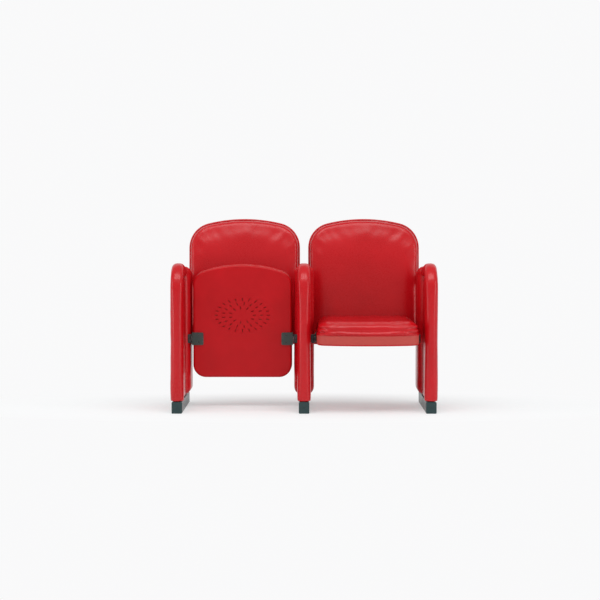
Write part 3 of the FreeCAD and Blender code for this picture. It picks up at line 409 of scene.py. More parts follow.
def red_thread():
    look = chosen("leather")
    material, tree, shader = new_finish("red_thread", 0.6)
    twist = placed_group(tree, "fine_texture", Grains=2600.0, Patches=300.0)
    base = shader.inputs["Base Color"]
    blend_colours(tree, twist.outputs["Patch"], look.thread_colour, look.colour, base)
    bump(tree, shader, twist.outputs["Height"], 0.5, 0.0002)
    return material


def coated_steel(name, colour, worn, roughness):
    """Powder coat: orange peel, slow patches, and rubbed edges."""
    material, tree, shader = new_finish(name, roughness)
    skin = placed_group(tree, "fine_texture", Grains=1400.0, Patches=22.0)
    wear = placed_group(tree, "edge_wear", Reach=0.56, Break_up=85.0)
    mask = math_node(tree, "ADD", math_node(tree, "MULTIPLY", wear.outputs["Wear"], 0.7),
                     math_node(tree, "MULTIPLY", skin.outputs["Patch"], 0.22))
    blend_colours(tree, mask, colour, worn, shader.inputs["Base Color"])
    link(tree, remap(tree, skin.outputs["Patch"], 0.3, 0.7, roughness - 0.05, roughness + 0.06),
         shader.inputs["Roughness"])
    bump(tree, shader, skin.outputs["Height"], 0.3, 0.00025)
    return material


def moulded(name, low_colour, high_colour, roughness, grains):
    material, tree, shader = new_finish(name, roughness)
    skin = placed_group(tree, "fine_texture", Grains=grains, Patches=30.0)
    blend_colours(tree, skin.outputs["Patch"], low_colour, high_colour, shader.inputs["Base Color"])
    link(tree, remap(tree, skin.outputs["Height"], 0.3, 0.7, roughness - 0.05, roughness + 0.07),
         shader.inputs["Roughness"])
    bump(tree, shader, skin.outputs["Height"], 0.35, 0.0002)
    return material


def zinc_screws():
    """Zinc plate with faint cloudy patches."""
    material, tree, shader = new_finish("zinc_screws", 0.32, metallic=1.0)
    skin = placed_group(tree, "fine_texture", Grains=700.0, Patches=160.0)
    dull = (0.48, 0.48, 0.47)
    bright = (0.74, 0.74, 0.75)
    blend_colours(tree, skin.outputs["Patch"], dull, bright, shader.inputs["Base Color"])
    link(tree, remap(tree, skin.outputs["Height"], 0.3, 0.7, 0.24, 0.42), shader.inputs["Roughness"])
    return material


def plywood():
    """Birch plywood with its long grain across the seat."""
    material, tree, shader = new_finish("plywood", 0.6)
    place = tree.nodes.new("ShaderNodeTexCoord").outputs["Object"]
    stretch = tree.nodes.new("ShaderNodeMapping")
    stretch.inputs["Scale"].default_value = (4.0, 60.0, 60.0)
    link(tree, place, stretch.inputs["Vector"])
    grain = noise_node(tree, stretch.outputs["Vector"], 4.0, 6.0)
    dark = (0.42, 0.28, 0.15)
    pale = (0.62, 0.46, 0.28)
    blend_colours(tree, remap(tree, grain, 0.3, 0.7, 0.0, 1.0), dark, pale, shader.inputs["Base Color"])
    bump(tree, shader, grain, 0.3, 0.0003)
    return material


# Powder coats: the colour, the colour where it is rubbed, and the roughness
COATS = {
    "foot_paint": ((0.018, 0.042, 0.045), (0.09, 0.12, 0.12), 0.34),
    "pivot_paint": ((0.030, 0.052, 0.046), (0.12, 0.15, 0.14), 0.36),
    "black_steel": ((0.012, 0.013, 0.014), (0.08, 0.08, 0.08), 0.42),
    "frame_steel": ((0.020, 0.020, 0.021), (0.10, 0.10, 0.10), 0.45),
}
# Mouldings: the darker and the lighter colour, the roughness, and the grains to the metre
MOULDINGS = {
    "foot_plastic": ((0.010, 0.034, 0.037), (0.020, 0.052, 0.054), 0.42, 1500.0),
    "bush_polymer": ((0.66, 0.64, 0.58), (0.78, 0.76, 0.71), 0.38, 1200.0),
    "stop_rubber": ((0.015, 0.015, 0.015), (0.04, 0.04, 0.04), 0.75, 900.0),
}
FINISHES = {
    "red_leather": red_leather, "red_moulding": red_moulding, "red_thread": red_thread,
    "zinc_screws": zinc_screws, "plywood": plywood,
}
FINISHES.update({"pan_leather_" + side: partial(pan_leather, side) for side in SIDES})
FINISHES.update({name: partial(coated_steel, name, *look) for name, look in COATS.items()})
FINISHES.update({name: partial(moulded, name, *look) for name, look in MOULDINGS.items()})


def finish(name):
    """The finish of that name, made the first time it is asked for."""
    return bpy.data.materials.get(FINISH_MARK + name) or FINISHES[name]()


def dress_nodes(names, finish_name):
    """Gives carried-over solids their finish."""
    for name in names:
        if name not in NODES:
            raise RuntimeError("no solid named " + name)
        NODES[name].data.materials.clear()
        NODES[name].data.materials.append(finish(finish_name))


# Mesh helpers

def points_of(mesh):
    points = np.empty(len(mesh.vertices) * 3)
    mesh.vertices.foreach_get("co", points)
    return points.reshape(-1, 3)


def normals_of(mesh):
    normals = np.empty(len(mesh.vertices) * 3)
    mesh.vertex_normals.foreach_get("vector", normals)
    return normals.reshape(-1, 3)


def set_points(mesh, points):
    mesh.vertices.foreach_set("co", points.reshape(-1))
    mesh.update()


def linked(name, mesh):
    piece = bpy.data.objects.new(name, mesh)
    bpy.context.scene.collection.objects.link(piece)
    return piece


def drop(piece):
    mesh = piece.data
    bpy.data.objects.remove(piece)
    bpy.data.meshes.remove(mesh)


def mesh_from(bm, name):
    mesh = bpy.data.meshes.new(name)
    bm.normal_update()
    bm.to_mesh(mesh)
    bm.free()
    return mesh


def solid_copy(node, shift):
    """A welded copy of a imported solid, moved by a shift."""
    bm = bmesh.new()
    bm.from_mesh(NODES[node].data)
    bmesh.ops.remove_doubles(bm, verts=bm.verts, dist=1e-5)
    bmesh.ops.translate(bm, verts=bm.verts, vec=shift)
    return bm


def hull_mesh(node, shift, name):
    """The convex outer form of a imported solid, which leaves its channels and screw holes out."""
    bm = solid_copy(node, shift)
    hull = bmesh.ops.convex_hull(bm, input=bm.verts)
    leftover = set(hull["geom_interior"]) | set(hull["geom_unused"])
    bmesh.ops.delete(bm, geom=[g for g in leftover if isinstance(g, bmesh.types.BMVert)], context="VERTS")
    loose = [face for face in bm.faces if face not in set(hull["geom"])]
    bmesh.ops.delete(bm, geom=loose, context="FACES_ONLY")
    return mesh_from(bm, name)


def evaluated_mesh(piece):
    bpy.context.view_layer.update()
    graph = bpy.context.evaluated_depsgraph_get()
    return bpy.data.meshes.new_from_object(piece.evaluated_get(graph))


def even_skin(mesh, step, name):
    """The same form as an even net of small faces, with the remesher's steps smoothed away."""
    piece = linked(name, mesh)
    remesh = piece.modifiers.new("Even net", "REMESH")
    remesh.mode = "VOXEL"
    remesh.voxel_size = step
    relax = piece.modifiers.new("Relax", "SMOOTH")
    relax.factor = 0.5
    relax.iterations = 3
    even = evaluated_mesh(piece)
    drop(piece)
    return even


# Frames of the cloth run
STUFFING_FRAMES = 20


def stuffed(mesh, name, held, start_inside, cap, settle=2):
    """Swells a skin by a short cloth run under pressure. Held points stay; the rest move up to the cap.
    The skin is then smoothed a number of times, as tight leather settles over foam."""
    pads = chosen("pads")
    points = points_of(mesh)
    normals = normals_of(mesh)
    start = points - normals * (start_inside * ~held)[:, None]
    set_points(mesh, start)
    piece = linked(name, mesh)
    pinned = piece.vertex_groups.new(name="held")
    pinned.add([int(i) for i in np.nonzero(held)[0]], 1.0, "REPLACE")
    cloth = piece.modifiers.new("Stuffing", "CLOTH")
    cloth.settings.use_pressure = True
    cloth.settings.uniform_pressure_force = pads.stuffing_pressure
    cloth.settings.effector_weights.gravity = 0.0
    cloth.settings.vertex_group_mass = "held"
    cloth.point_cache.frame_start = 1
    cloth.point_cache.frame_end = STUFFING_FRAMES
    for number in range(1, STUFFING_FRAMES + 1):
        bpy.context.scene.frame_set(number)
    swollen = evaluated_mesh(piece)
    moved = points_of(swollen) - start
    bpy.data.meshes.remove(swollen)
    length = np.linalg.norm(moved, axis=1, keepdims=True)
    start = start + moved * np.minimum(1.0, cap / np.maximum(length, 1e-9))
    piece.modifiers.clear()
    bpy.context.scene.frame_set(1)
    set_points(mesh, start)
    piece.vertex_groups.clear()
    relax = piece.modifiers.new("Settle", "SMOOTH")
    relax.factor = 0.5
    relax.iterations = settle
    finer = piece.modifiers.new("Finer", "SUBSURF")
    finer.levels = 1
    finer.subdivision_type = "CATMULL_CLARK"
    finished = evaluated_mesh(piece)
    drop(piece)
    return finished


def wave(points, size, offset):
    """Smooth noise at each point, between about -1 and 1, with waves of that size."""
    shift = Vector((offset, 0.37 * offset, -0.61 * offset))
    return np.array([noise.noise(Vector(p) / size + shift) for p in points])


def undulated(mesh, height, size, offset):
    """Slow waves, as stretched leather has them over foam."""
    points = points_of(mesh)
    set_points(mesh, points + normals_of(mesh) * (height * wave(points, size, offset))[:, None])


def moved_copy(mesh, matrix, name):
    """A copy of a mesh under a matrix, with its faces turned the right way if the matrix mirrors it."""
    copy = mesh.copy()
    copy.name = name
    copy.transform(matrix)
    if matrix.determinant() < 0:
        copy.flip_normals()
    return copy


def shifted(x):
    """Moves a piece made about X = 0 across to its place."""
    return Matrix.Translation((x, 0.0, 0.0))


def smooth_shaded(mesh):
    mesh.polygons.foreach_set("use_smooth", [True] * len(mesh.polygons))


def dressed_piece(name, mesh, body, finish_name):
    """A smooth piece of the leatherwork in its finish, which moves with its body."""
    smooth_shaded(mesh)
    mesh.materials.clear()
    mesh.materials.append(finish(finish_name))
    piece = linked(name, mesh)
    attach(piece, body)
    return piece


def pad_piece(skin, name, place, waves, body, node):
    """One pad from a skin, put in its place and waved, with the solid that it stands for."""
    mesh = moved_copy(skin, place, name)
    for height, size, offset in waves:
        undulated(mesh, height, size, offset)
    piece = dressed_piece(name, mesh, body, "red_leather")
    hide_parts(node)


def skin_rings(bm, rings):
    """Faces from each ring of points to the next, with both ends closed."""
    count = len(rings[0])
    for first, second in zip(rings, rings[1:]):
        for k in range(count):
            bm.faces.new((first[k], first[(k + 1) % count], second[(k + 1) % count], second[k]))
    bm.faces.new(rings[0][::-1])
    bm.faces.new(rings[-1])


def even_loop(points, step):
    """Points at even steps round a closed loop."""
    closed = np.vstack([points, points[:1]])
    runs = np.linalg.norm(np.diff(closed, axis=0), axis=1)
    reach = np.concatenate([[0.0], np.cumsum(runs)])
    count = max(8, int(round(reach[-1] / step)))
    wanted = np.linspace(0.0, reach[-1], count, endpoint=False)
    return np.stack([np.interp(wanted, reach, closed[:, i]) for i in range(3)], axis=1)


def tube_loop(name, points, radius, body):
    """A closed welt that follows a loop of points."""
    curve = bpy.data.curves.new(name, "CURVE")
    curve.dimensions = "3D"
    curve.bevel_depth = radius
    curve.bevel_resolution = 3
    curve.resolution_u = 3
    spline = curve.splines.new("NURBS")
    spline.points.add(len(points) - 1)
    for target, point in zip(spline.points, points):
        target.co = (*point, 1.0)
    spline.use_cyclic_u = True
    spline.order_u = 3
    holder = bpy.data.objects.new(name + "_path", curve)
    bpy.context.scene.collection.objects.link(holder)
    mesh = evaluated_mesh(holder)
    bpy.data.objects.remove(holder)
    bpy.data.curves.remove(curve)
    mesh.name = name
    return dressed_piece(name, mesh, body, "red_leather")


# One stitch's rings: place along the pitch, share of the thread's radius, and rise in radii.
STITCH_RINGS = (
    (-0.40, 0.25, -0.5), (-0.26, 0.85, 0.1), (0.0, 1.0, 0.45), (0.26, 0.85, 0.1), (0.40, 0.25, -0.5))
STITCH_SIDES = 6


def stitch_row(name, points, pitch, radius, body):
    """A row of stitches along a closed loop: short fat threads that dip into the leather at both ends."""
    places = even_loop(points, pitch)
    bm = bmesh.new()
    turns = [2 * math.pi * k / STITCH_SIDES for k in range(STITCH_SIDES)]
    count = len(places)
    for i in range(count):
        here = Vector(places[i])
        along = (Vector(places[(i + 1) % count]) - Vector(places[i - 1])).normalized()
        lift = row_lift(along)
        across = along.cross(lift).normalized()
        rings = []
        for reach, share, rise in STITCH_RINGS:
            centre = here + along * (reach * pitch) + lift * (rise * radius)
            ring = [bm.verts.new(centre + (across * math.cos(a) + lift * math.sin(a)) * radius * share)
                    for a in turns]
            rings.append(ring)
        skin_rings(bm, rings)
    bmesh.ops.recalc_face_normals(bm, faces=bm.faces)
    return dressed_piece(name, mesh_from(bm, name), body, "red_thread")


def row_lift(along):
    """Which way is out of the rear cover for a stitch: backwards and square to the row."""
    out = Vector((0.0, 1.0, 0.0))
    return (out - along * out.dot(along)).normalized()


# Arms

# The roll's rings: their spacing on the straight runs and their number round the bend. The last stretch
# before the bolster stays held while the roll is stuffed.
ROLL_STEP = 0.012
ROLL_BENDS = 16
ROLL_HELD = 0.004


def roll_form():
    """A rounded section carried up the arm's front, over its top and back to the bolster, about X = 0."""
    arms = chosen("arms")
    low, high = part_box("arm_roll_centre")
    half_wide = (high.x - low.x) / 2
    radius = arms.front_round
    centre = Vector((0.0, low.y + radius, high.z - radius))
    stations = []
    count = int((centre.z - low.z) / ROLL_STEP)
    for i in range(count):
        level = low.z + (centre.z - low.z) * i / count
        stations.append((Vector((0.0, low.y, level)), Vector((0.0, -1.0, 0.0))))
    turn = math.pi / 2 + arms.slope
    for i in range(ROLL_BENDS + 1):
        angle = turn * i / ROLL_BENDS
        out = Vector((0.0, -math.cos(angle), math.sin(angle)))
        stations.append((centre + out * radius, out))
    along = Vector((0.0, math.cos(arms.slope), -math.sin(arms.slope)))
    out = Vector((0.0, math.sin(arms.slope), math.cos(arms.slope)))
    top_end = stations[-1][0]
    run = (arms.roll_end - top_end.y) / along.y
    count = int(run / ROLL_STEP)
    for i in range(1, count + 1):
        stations.append((top_end + along * (run * i / count), out))
    section = rounded_section(half_wide, arms.roll_deep, arms.roll_nose, arms.roll_tuck)
    bm = bmesh.new()
    rings = [[bm.verts.new(place + Vector((x, 0.0, 0.0)) - out_here * depth) for x, depth in section]
             for place, out_here in stations]
    skin_rings(bm, rings)
    bmesh.ops.recalc_face_normals(bm, faces=bm.faces)
    return mesh_from(bm, "roll_form")


def rounded_section(half_wide, depth, nose, tuck, steps=6):
    """Points round a rectangle with two large corners at depth 0 and two small ones at the full depth."""
    corners = (
        (half_wide - nose, nose, nose, -90.0), (half_wide - tuck, depth - tuck, tuck, 0.0),
        (-half_wide + tuck, depth - tuck, tuck, 90.0), (-half_wide + nose, nose, nose, 180.0),
    )
    points = []
    for x, y, radius, first in corners:
        for i in range(steps + 1):
            angle = math.radians(first + 90.0 * i / steps)
            points.append((x + radius * math.cos(angle), y + radius * math.sin(angle)))
    return points


class SEATPAIR_OT_arm_rolls(bpy.types.Operator):
    """Make the padded front and top roll of each arm"""
    bl_idname = "seat_pair.arm_rolls"
    bl_label = "Arm rolls"

    def execute(self, context):
        pads = chosen("pads")
        skin = even_skin(roll_form(), pads.weave_step, "roll_skin")
        points = points_of(skin)
        held = points[:, 1] > chosen("arms").roll_end - ROLL_HELD
        skin = stuffed(skin, "roll_skin", held, start_inside=0.0020, cap=0.0045)
        for i, arm in enumerate(ARMS):
            waves = ((pads.undulation, 0.075, 3.1 * i), (0.35 * pads.undulation, 0.022, 1.7 * i))
            place = shifted(ARM_X[arm])
            pad_piece(skin, "arm_roll_skin_" + arm, place, waves, "stand", "arm_roll_" + arm)
        bpy.data.meshes.remove(skin)
        return {"FINISHED"}


class SEATPAIR_OT_arm_bolsters(bpy.types.Operator):
    """Make the padded rear bolster of each arm"""
    bl_idname = "seat_pair.arm_bolsters"
    bl_label = "Arm bolsters"

    def execute(self, context):
        pads = chosen("pads")
        form = hull_mesh("arm_bolster_centre", Vector((-ARM_X["centre"], 0.0, 0.0)), "bolster_form")
        skin = even_skin(form, pads.weave_step, "bolster_skin")
        held = np.zeros(len(skin.vertices), bool)
        skin = stuffed(skin, "bolster_skin", held, start_inside=0.003, cap=0.003)
        for i, arm in enumerate(ARMS):
            waves = ((pads.undulation, 0.09, 2.3 * i + 0.5),)
            place = shifted(ARM_X[arm])
            pad_piece(skin, "arm_bolster_skin_" + arm, place, waves, "stand", "arm_bolster_" + arm)
        bpy.data.meshes.remove(skin)
        return {"FINISHED"}


# What stays held on a panel: all that lies this far in from its face, and a border this wide. The border
# along the foot is left out by counting heights from a little below it.
PANEL_FACE = 0.010
PANEL_BORDER = 0.008
PANEL_FREE_LOW = 0.01


class SEATPAIR_OT_arm_panels(bpy.types.Operator):
    """Make the padded flat on each side of each arm"""
    bl_idname = "seat_pair.arm_panels"
    bl_label = "Arm panels"

    def execute(self, context):
        pads = chosen("pads")
        form = hull_mesh("arm_panel_left_left", Vector((-ARM_X["left"], 0.0, 0.0)), "panel_form")
        skin = even_skin(form, pads.weave_step, "panel_skin")
        points = points_of(skin)
        low, high = points.min(axis=0), points.max(axis=0)
        front = points[:, 1] - low[1]
        rear = high[1] - points[:, 1]
        above = points[:, 2] - low[2] + PANEL_FREE_LOW
        edge = np.minimum.reduce([front, rear, above])
        held = (points[:, 0] > low[0] + PANEL_FACE) | (edge < PANEL_BORDER)
        skin = stuffed(skin, "panel_skin", held, start_inside=0.001, cap=0.006)
        for i, arm in enumerate(ARMS):
            for side, flip in (("left", 1.0), ("right", -1.0)):
                which = "%s_%s" % (arm, side)
                waves = ((pads.undulation, 0.10, 1.9 * i + flip),)
                place = shifted(ARM_X[arm]) @ Matrix.Diagonal((flip, 1.0, 1.0, 1.0))
                pad_piece(skin, "arm_panel_skin_" + which, place, waves, "stand", "arm_panel_" + which)
        bpy.data.meshes.remove(skin)
        return {"FINISHED"}


# Backs

def lower_chain(across, up):
    """The lowest points of a cloud against one coordinate, in order, as a chain that bends one way."""
    order = convex_hull_2d([Vector((a, u)) for a, u in zip(across, up)])
    hull = np.array([(across[i], up[i]) for i in order])
    first, last = hull[hull[:, 0].argmin()], hull[hull[:, 0].argmax()]
    share = (hull[:, 0] - first[0]) / (last[0] - first[0])
    below = hull[hull[:, 1] <= first[1] + share * (last[1] - first[1]) + 1e-9]
    return below[below[:, 0].argsort()]


def outline_of(node, first, second):
    """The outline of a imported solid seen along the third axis, as pairs of coordinates."""
    flat = np.unique(np.round(points_of(NODES[node].data)[:, [first, second]], 5), axis=0)
    order = convex_hull_2d([Vector(p) for p in flat])
    return flat[order]


def rear_face_loop(node, inset, behind):
    """A loop inside a back piece's outline, on or behind the piece's front face."""
    points = points_of(NODES[node].data)
    chain = lower_chain(points[:, 2], points[:, 1])
    outline = outline_of(node, 0, 2)
    middle = outline.mean(axis=0)
    before = outline - np.roll(outline, 1, axis=0)
    after = np.roll(outline, -1, axis=0) - outline
    before /= np.linalg.norm(before, axis=1)[:, None]
    after /= np.linalg.norm(after, axis=1)[:, None]
    along = before + after
    normal = np.stack([along[:, 1], -along[:, 0]], axis=1)
    normal /= np.linalg.norm(normal, axis=1)[:, None]
    outward = np.sign(((outline - middle) * normal).sum(axis=1))[:, None]
    inner = outline - normal * outward * inset
    depth = np.interp(inner[:, 1], chain[:, 0], chain[:, 1]) + behind
    return np.stack([inner[:, 0], depth, inner[:, 1]], axis=1)


# How far a back's own screws reach from its middle, how near a screw its hole's points lie, how squarely to
# the rear its held points face, and how much coarser and livelier its skin is than the other pads'
BACK_REACH = 0.27
BACK_HELD = 0.6
SCREW_HOLE = 0.0045
BACK_STEP = 1.15
BACK_WAVES = 1.4


def back_form(side):
    """The back cushion's solid with its screw holes closed."""
    bm = solid_copy("back_cushion_" + side, Vector((-SEAT_X[side], 0.0, 0.0)))
    holes = []
    screws = points_of(NODES["back_screws"].data) - np.array([SEAT_X[side], 0.0, 0.0])
    heads = screws[np.abs(screws[:, 0]) < BACK_REACH]
    for vert in bm.verts:
        near = np.linalg.norm(heads[:, [0, 2]] - np.array([vert.co.x, vert.co.z]), axis=1).min()
        if near < SCREW_HOLE:
            holes.append(vert)
    bmesh.ops.delete(bm, geom=holes, context="VERTS")
    bmesh.ops.holes_fill(bm, edges=[e for e in bm.edges if e.is_boundary], sides=0)
    return mesh_from(bm, "back_form")


class SEATPAIR_OT_back_cushions(bpy.types.Operator):
    """Make the padded front of each back"""
    bl_idname = "seat_pair.back_cushions"
    bl_label = "Back cushions"

    def execute(self, context):
        pads = chosen("pads")
        skin = even_skin(back_form("right"), pads.weave_step * BACK_STEP, "back_skin")
        held = normals_of(skin)[:, 1] > BACK_HELD
        skin = stuffed(skin, "back_skin", held, pads.start_inside, cap=0.006, settle=18)
        for i, side in enumerate(SIDES):
            waves = ((BACK_WAVES * pads.undulation, 0.16, 4.1 * i + 0.9),)
            place = shifted(SEAT_X[side])
            pad_piece(skin, "back_cushion_skin_" + side, place, waves, "stand", "back_cushion_" + side)
        bpy.data.meshes.remove(skin)
        return {"FINISHED"}


# The welt between cover and cushion: its inset, the gap that it lies in, its step and its radius
WELT_INSET = 0.0045
WELT_GAP = 0.012
WELT_STEP = 0.012
WELT_RADIUS = 0.0056
# The stitches on the cover: their inset, how far behind the cover's front face, and the thread's radius
STITCH_INSET = 0.022
STITCH_BEHIND = 0.0124
THREAD_RADIUS = 0.0007


class SEATPAIR_OT_back_covers(bpy.types.Operator):
    """Finish the rear covers in leather, with a welt in the gap to the cushion and a row of stitches"""
    bl_idname = "seat_pair.back_covers"
    bl_label = "Back covers"

    def execute(self, context):
        pads = chosen("pads")
        for side in SIDES:
            cover = "back_cover_" + side
            dress_nodes([cover], "red_leather")
            welt = even_loop(rear_face_loop(cover, WELT_INSET, -WELT_GAP / 2), WELT_STEP)
            tube_loop("back_welt_" + side, welt, WELT_RADIUS, "stand")
            row = rear_face_loop(cover, STITCH_INSET, STITCH_BEHIND)
            stitch_row("back_stitches_" + side, row, pads.stitch_pitch, THREAD_RADIUS, "stand")
        return {"FINISHED"}


# Seats

def seat_place(side):
    """Turns a seat piece made folded down about its tip axis into its place at rest."""
    joint = SEATS[side + "_seat"]
    tipped = joint["range_deg"][0] >= 0.0
    turn = -math.radians(joint["range_deg"][1]) if tipped else 0.0
    return Matrix.Translation(AXES[side + "_seat"]) @ Matrix.Rotation(turn, 4, "X")


# Folds at the seat's front corners: their middle in from side and front, their reach, how many lie up the
# wall, how far they sag, and the slow waves (share, size, offset) that they drift by. A level is a share of
# the cushion's height.
FOLD_IN = 0.030
FOLD_BEHIND = 0.075
FOLD_REACH = 0.085
FOLDS_UP = 3.1
FOLD_SAG = 0.9
FOLD_DRIFTS = ((0.55, 0.055, 7.0), (0.25, 0.018, 3.0))
FOLD_DRIFT_SHARE = 0.35
FOLD_START = 0.6
# How much a fold is drawn out rearwards, how far it runs over onto the top, and how fast it fades at the rim
FOLD_REARWARDS = 0.8
FOLD_ONTO_TOP = 1.25
FOLD_AT_RIM = 9.0
# The fine gathers just above the pan
GATHER_SIZE = 0.0085
GATHER_LEVEL = 0.10
GATHER_BAND = 0.13
GATHER_SHARE = 0.55
# Each crease at a front corner: where it starts up the wall, how far it climbs, its reach in and its depth
CORNER_CREASES = ((0.16, 0.16, 0.13, 0.0035), (0.44, 0.26, 0.10, 0.0030))
# How soon a crease levels off, its band, how far back along the side it keeps on, and how soon it fades
CREASE_BEND = 0.045
CREASE_BAND = 0.055
CREASE_BACK = 0.050
CREASE_FADE = 0.06
# The lip over a crease: how far above it, its band and its share of the depth
LIP_ABOVE = 0.13
LIP_BAND = 0.07
LIP_SHARE = 0.6
# The long shallow fold across the front
LONG_FOLD_LEVEL = 0.30
LONG_FOLD_BAND = 0.07
LONG_FOLD_DEEP = 0.0010


def hump(values, middle, band):
    """A smooth hump of height 1 about a middle."""
    return np.exp(-((values - middle) / band) ** 2)


def fold_waves(points, normals, level, inward, half_wide, front):
    """Folds that wrap each front corner and fine gathers under them, as shares of the fold height."""
    across = np.abs(points[:, 0])
    behind = (points[:, 1] - (front + FOLD_BEHIND)) * FOLD_REARWARDS
    away = np.hypot(across - (half_wide - FOLD_IN), behind)
    near = hump(away, 0.0, FOLD_REACH)
    facing_up = np.clip(normals[:, 2], 0.0, 1.0)
    wall = np.clip(FOLD_ONTO_TOP * (1.0 - facing_up ** 2), 0.0, 1.0)
    wall *= np.clip(level * FOLD_AT_RIM, 0.0, 1.0)
    drift = sum(share * wave(points, size, offset) for share, size, offset in FOLD_DRIFTS)
    sag = FOLD_SAG * np.clip(inward / half_wide, 0.0, 1.0)
    folds = np.sin(2.0 * math.pi * (FOLDS_UP * level + sag + FOLD_DRIFT_SHARE * drift) + FOLD_START)
    gathers = wave(points * np.array([1.0, 1.0, 0.35]), GATHER_SIZE, 11.0)
    gathers *= hump(level, GATHER_LEVEL, GATHER_BAND)
    return near * wall * folds + GATHER_SHARE * near * gathers


def crease_height(points, level, inward, front):
    """Creases that run in from each front corner, each with a soft lip over it."""
    behind = np.clip(points[:, 1] - front - CREASE_BACK, 0.0, 1.0)
    side_wall = np.clip(1.0 - behind / CREASE_FADE, 0.0, 1.0)
    height = np.zeros(len(points))
    for start_level, rise, reach, depth in CORNER_CREASES:
        line = start_level + rise * (1.0 - np.exp(-inward / CREASE_BEND))
        fade = np.clip(1.0 - inward / reach, 0.0, 1.0) ** 0.7 * side_wall
        height -= depth * hump(level, line, CREASE_BAND) * fade
        height += LIP_SHARE * depth * hump(level, line + LIP_ABOVE, LIP_BAND) * fade
    return height


def seat_folds(mesh, rim, top, half_wide, front):
    """Folds, creases and gathers in the seat cushion's leather, between its rim and its top."""
    points = points_of(mesh)
    normals = normals_of(mesh)
    level = (points[:, 2] - rim) / (top - rim)
    inward = half_wide - np.abs(points[:, 0])
    waves = fold_waves(points, normals, level, inward, half_wide, front)
    height = chosen("pads").fold_height * waves + crease_height(points, level, inward, front)
    front_wall = np.clip(-normals[:, 1], 0.0, 1.0)
    long_fold = hump(level, LONG_FOLD_LEVEL, LONG_FOLD_BAND) * np.clip(inward / half_wide, 0.0, 1.0)
    height -= LONG_FOLD_DEEP * long_fold * front_wall
    set_points(mesh, points + normals * height[:, None])


# How much of the cushion's foot stays held while it is stuffed
SEAT_HELD = 0.003


class SEATPAIR_OT_seat_cushions(bpy.types.Operator):
    """Make the stuffed cushion of each seat, with folds round its front corners"""
    bl_idname = "seat_pair.seat_cushions"
    bl_label = "Seat cushions"

    def execute(self, context):
        pads = chosen("pads")
        bm = solid_copy("right_seat_cushion", -AXES["right_seat"])
        skin = even_skin(mesh_from(bm, "seat_form"), pads.weave_step, "seat_skin")
        points = points_of(skin)
        low, high = points.min(axis=0), points.max(axis=0)
        held = points[:, 2] < low[2] + SEAT_HELD
        skin = stuffed(skin, "seat_skin", held, pads.start_inside, cap=0.008)
        seat_folds(skin, low[2], high[2], high[0], low[1])
        for i, side in enumerate(SIDES):
            seat = side + "_seat"
            waves = ((pads.undulation, 0.11, 5.3 * i + 0.2),)
            place = seat_place(side)
            pad_piece(skin, "seat_cushion_skin_" + side, place, waves, seat, seat + "_cushion")
        bpy.data.meshes.remove(skin)
        return {"FINISHED"}


def pan_loop(level, inset):
    """A loop round the folded down pan at a height above the tip axis, about the tip axis."""
    outline = outline_of("right_seat_pan", 0, 1) - np.array(AXES["right_seat"])[:2]
    middle = outline.mean(axis=0)
    outward = outline - middle
    outward /= np.linalg.norm(outward, axis=1)[:, None]
    inner = outline - outward * inset
    return np.column_stack([inner, np.full(len(inner), level)])


# The pan's welt: how far under the rim, its inset and its step
PAN_WELT_UNDER = 0.0005
PAN_WELT_INSET = 0.0012
PAN_WELT_STEP = 0.010


def turned(points, matrix):
    return np.array([matrix @ Vector(p) for p in points])


class SEATPAIR_OT_seat_pans(bpy.types.Operator):
    """Finish the seat pans in leather, with a welt round the rim and a perforated sound panel"""
    bl_idname = "seat_pair.seat_pans"
    bl_label = "Seat pans"

    def execute(self, context):
        pads = chosen("pads")
        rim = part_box("right_seat_pan")[1].z - AXES["right_seat"].z
        loop = even_loop(pan_loop(rim - PAN_WELT_UNDER, PAN_WELT_INSET), PAN_WELT_STEP)
        for side in SIDES:
            seat = side + "_seat"
            dress_nodes([seat + "_pan"], "pan_leather_" + side)
            dress_nodes([seat + "_sound_panel"], "red_moulding")
            dress_nodes([seat + "_board"], "plywood")
            tube_loop("seat_welt_" + side, turned(loop, seat_place(side)), pads.welt_radius, seat)
        return {"FINISHED"}


# Steelwork and feet

class SEATPAIR_OT_pivots(bpy.types.Operator):
    """Finish the pivot brackets, bearing blocks, bushes, studs and screws"""
    bl_idname = "seat_pair.pivots"
    bl_label = "Pivots"

    def execute(self, context):
        for side in SIDES:
            seat = side + "_seat"
            dress_nodes([seat + "_bracket_left", seat + "_bracket_right"], "pivot_paint")
            dress_nodes([seat + "_frame"], "frame_steel")
            dress_nodes([seat + "_screws"], "black_steel")
        for place in ("left_outer", "left_inner", "right_inner", "right_outer"):
            dress_nodes(["bearing_block_" + place], "black_steel")
            dress_nodes(["pivot_bush_" + place], "bush_polymer")
            dress_nodes(["stop_stud_" + place], "stop_rubber")
        return {"FINISHED"}


class SEATPAIR_OT_feet(bpy.types.Operator):
    """Finish the foot bars and their end caps"""
    bl_idname = "seat_pair.feet"
    bl_label = "Feet"

    def execute(self, context):
        dress_nodes(["foot_" + arm for arm in ARMS], "foot_paint")
        dress_nodes(["foot_caps_" + arm for arm in ARMS], "foot_plastic")
        return {"FINISHED"}


class SEATPAIR_OT_steelwork(bpy.types.Operator):
    """Finish the arm frames, back boards, back brackets and their screws"""
    bl_idname = "seat_pair.steelwork"
    bl_label = "Steelwork"

    def execute(self, context):
        dress_nodes(["arm_frame_" + arm for arm in ARMS], "frame_steel")
        dress_nodes(["back_bracket_" + arm for arm in ARMS], "black_steel")
        dress_nodes(["back_board_" + side for side in SIDES], "plywood")
        dress_nodes(["back_screws"], "zinc_screws")
        return {"FINISHED"}


# Studio

# Where the floor's shadow area lies, how narrow it is across, and how bright its page share starts
SHADOW_SHIFT = (0.0, -0.05, 0.0)
SHADOW_SHAPE = (0.35, 1.0, 1.0)
SHADOW_GLOW = 1.12


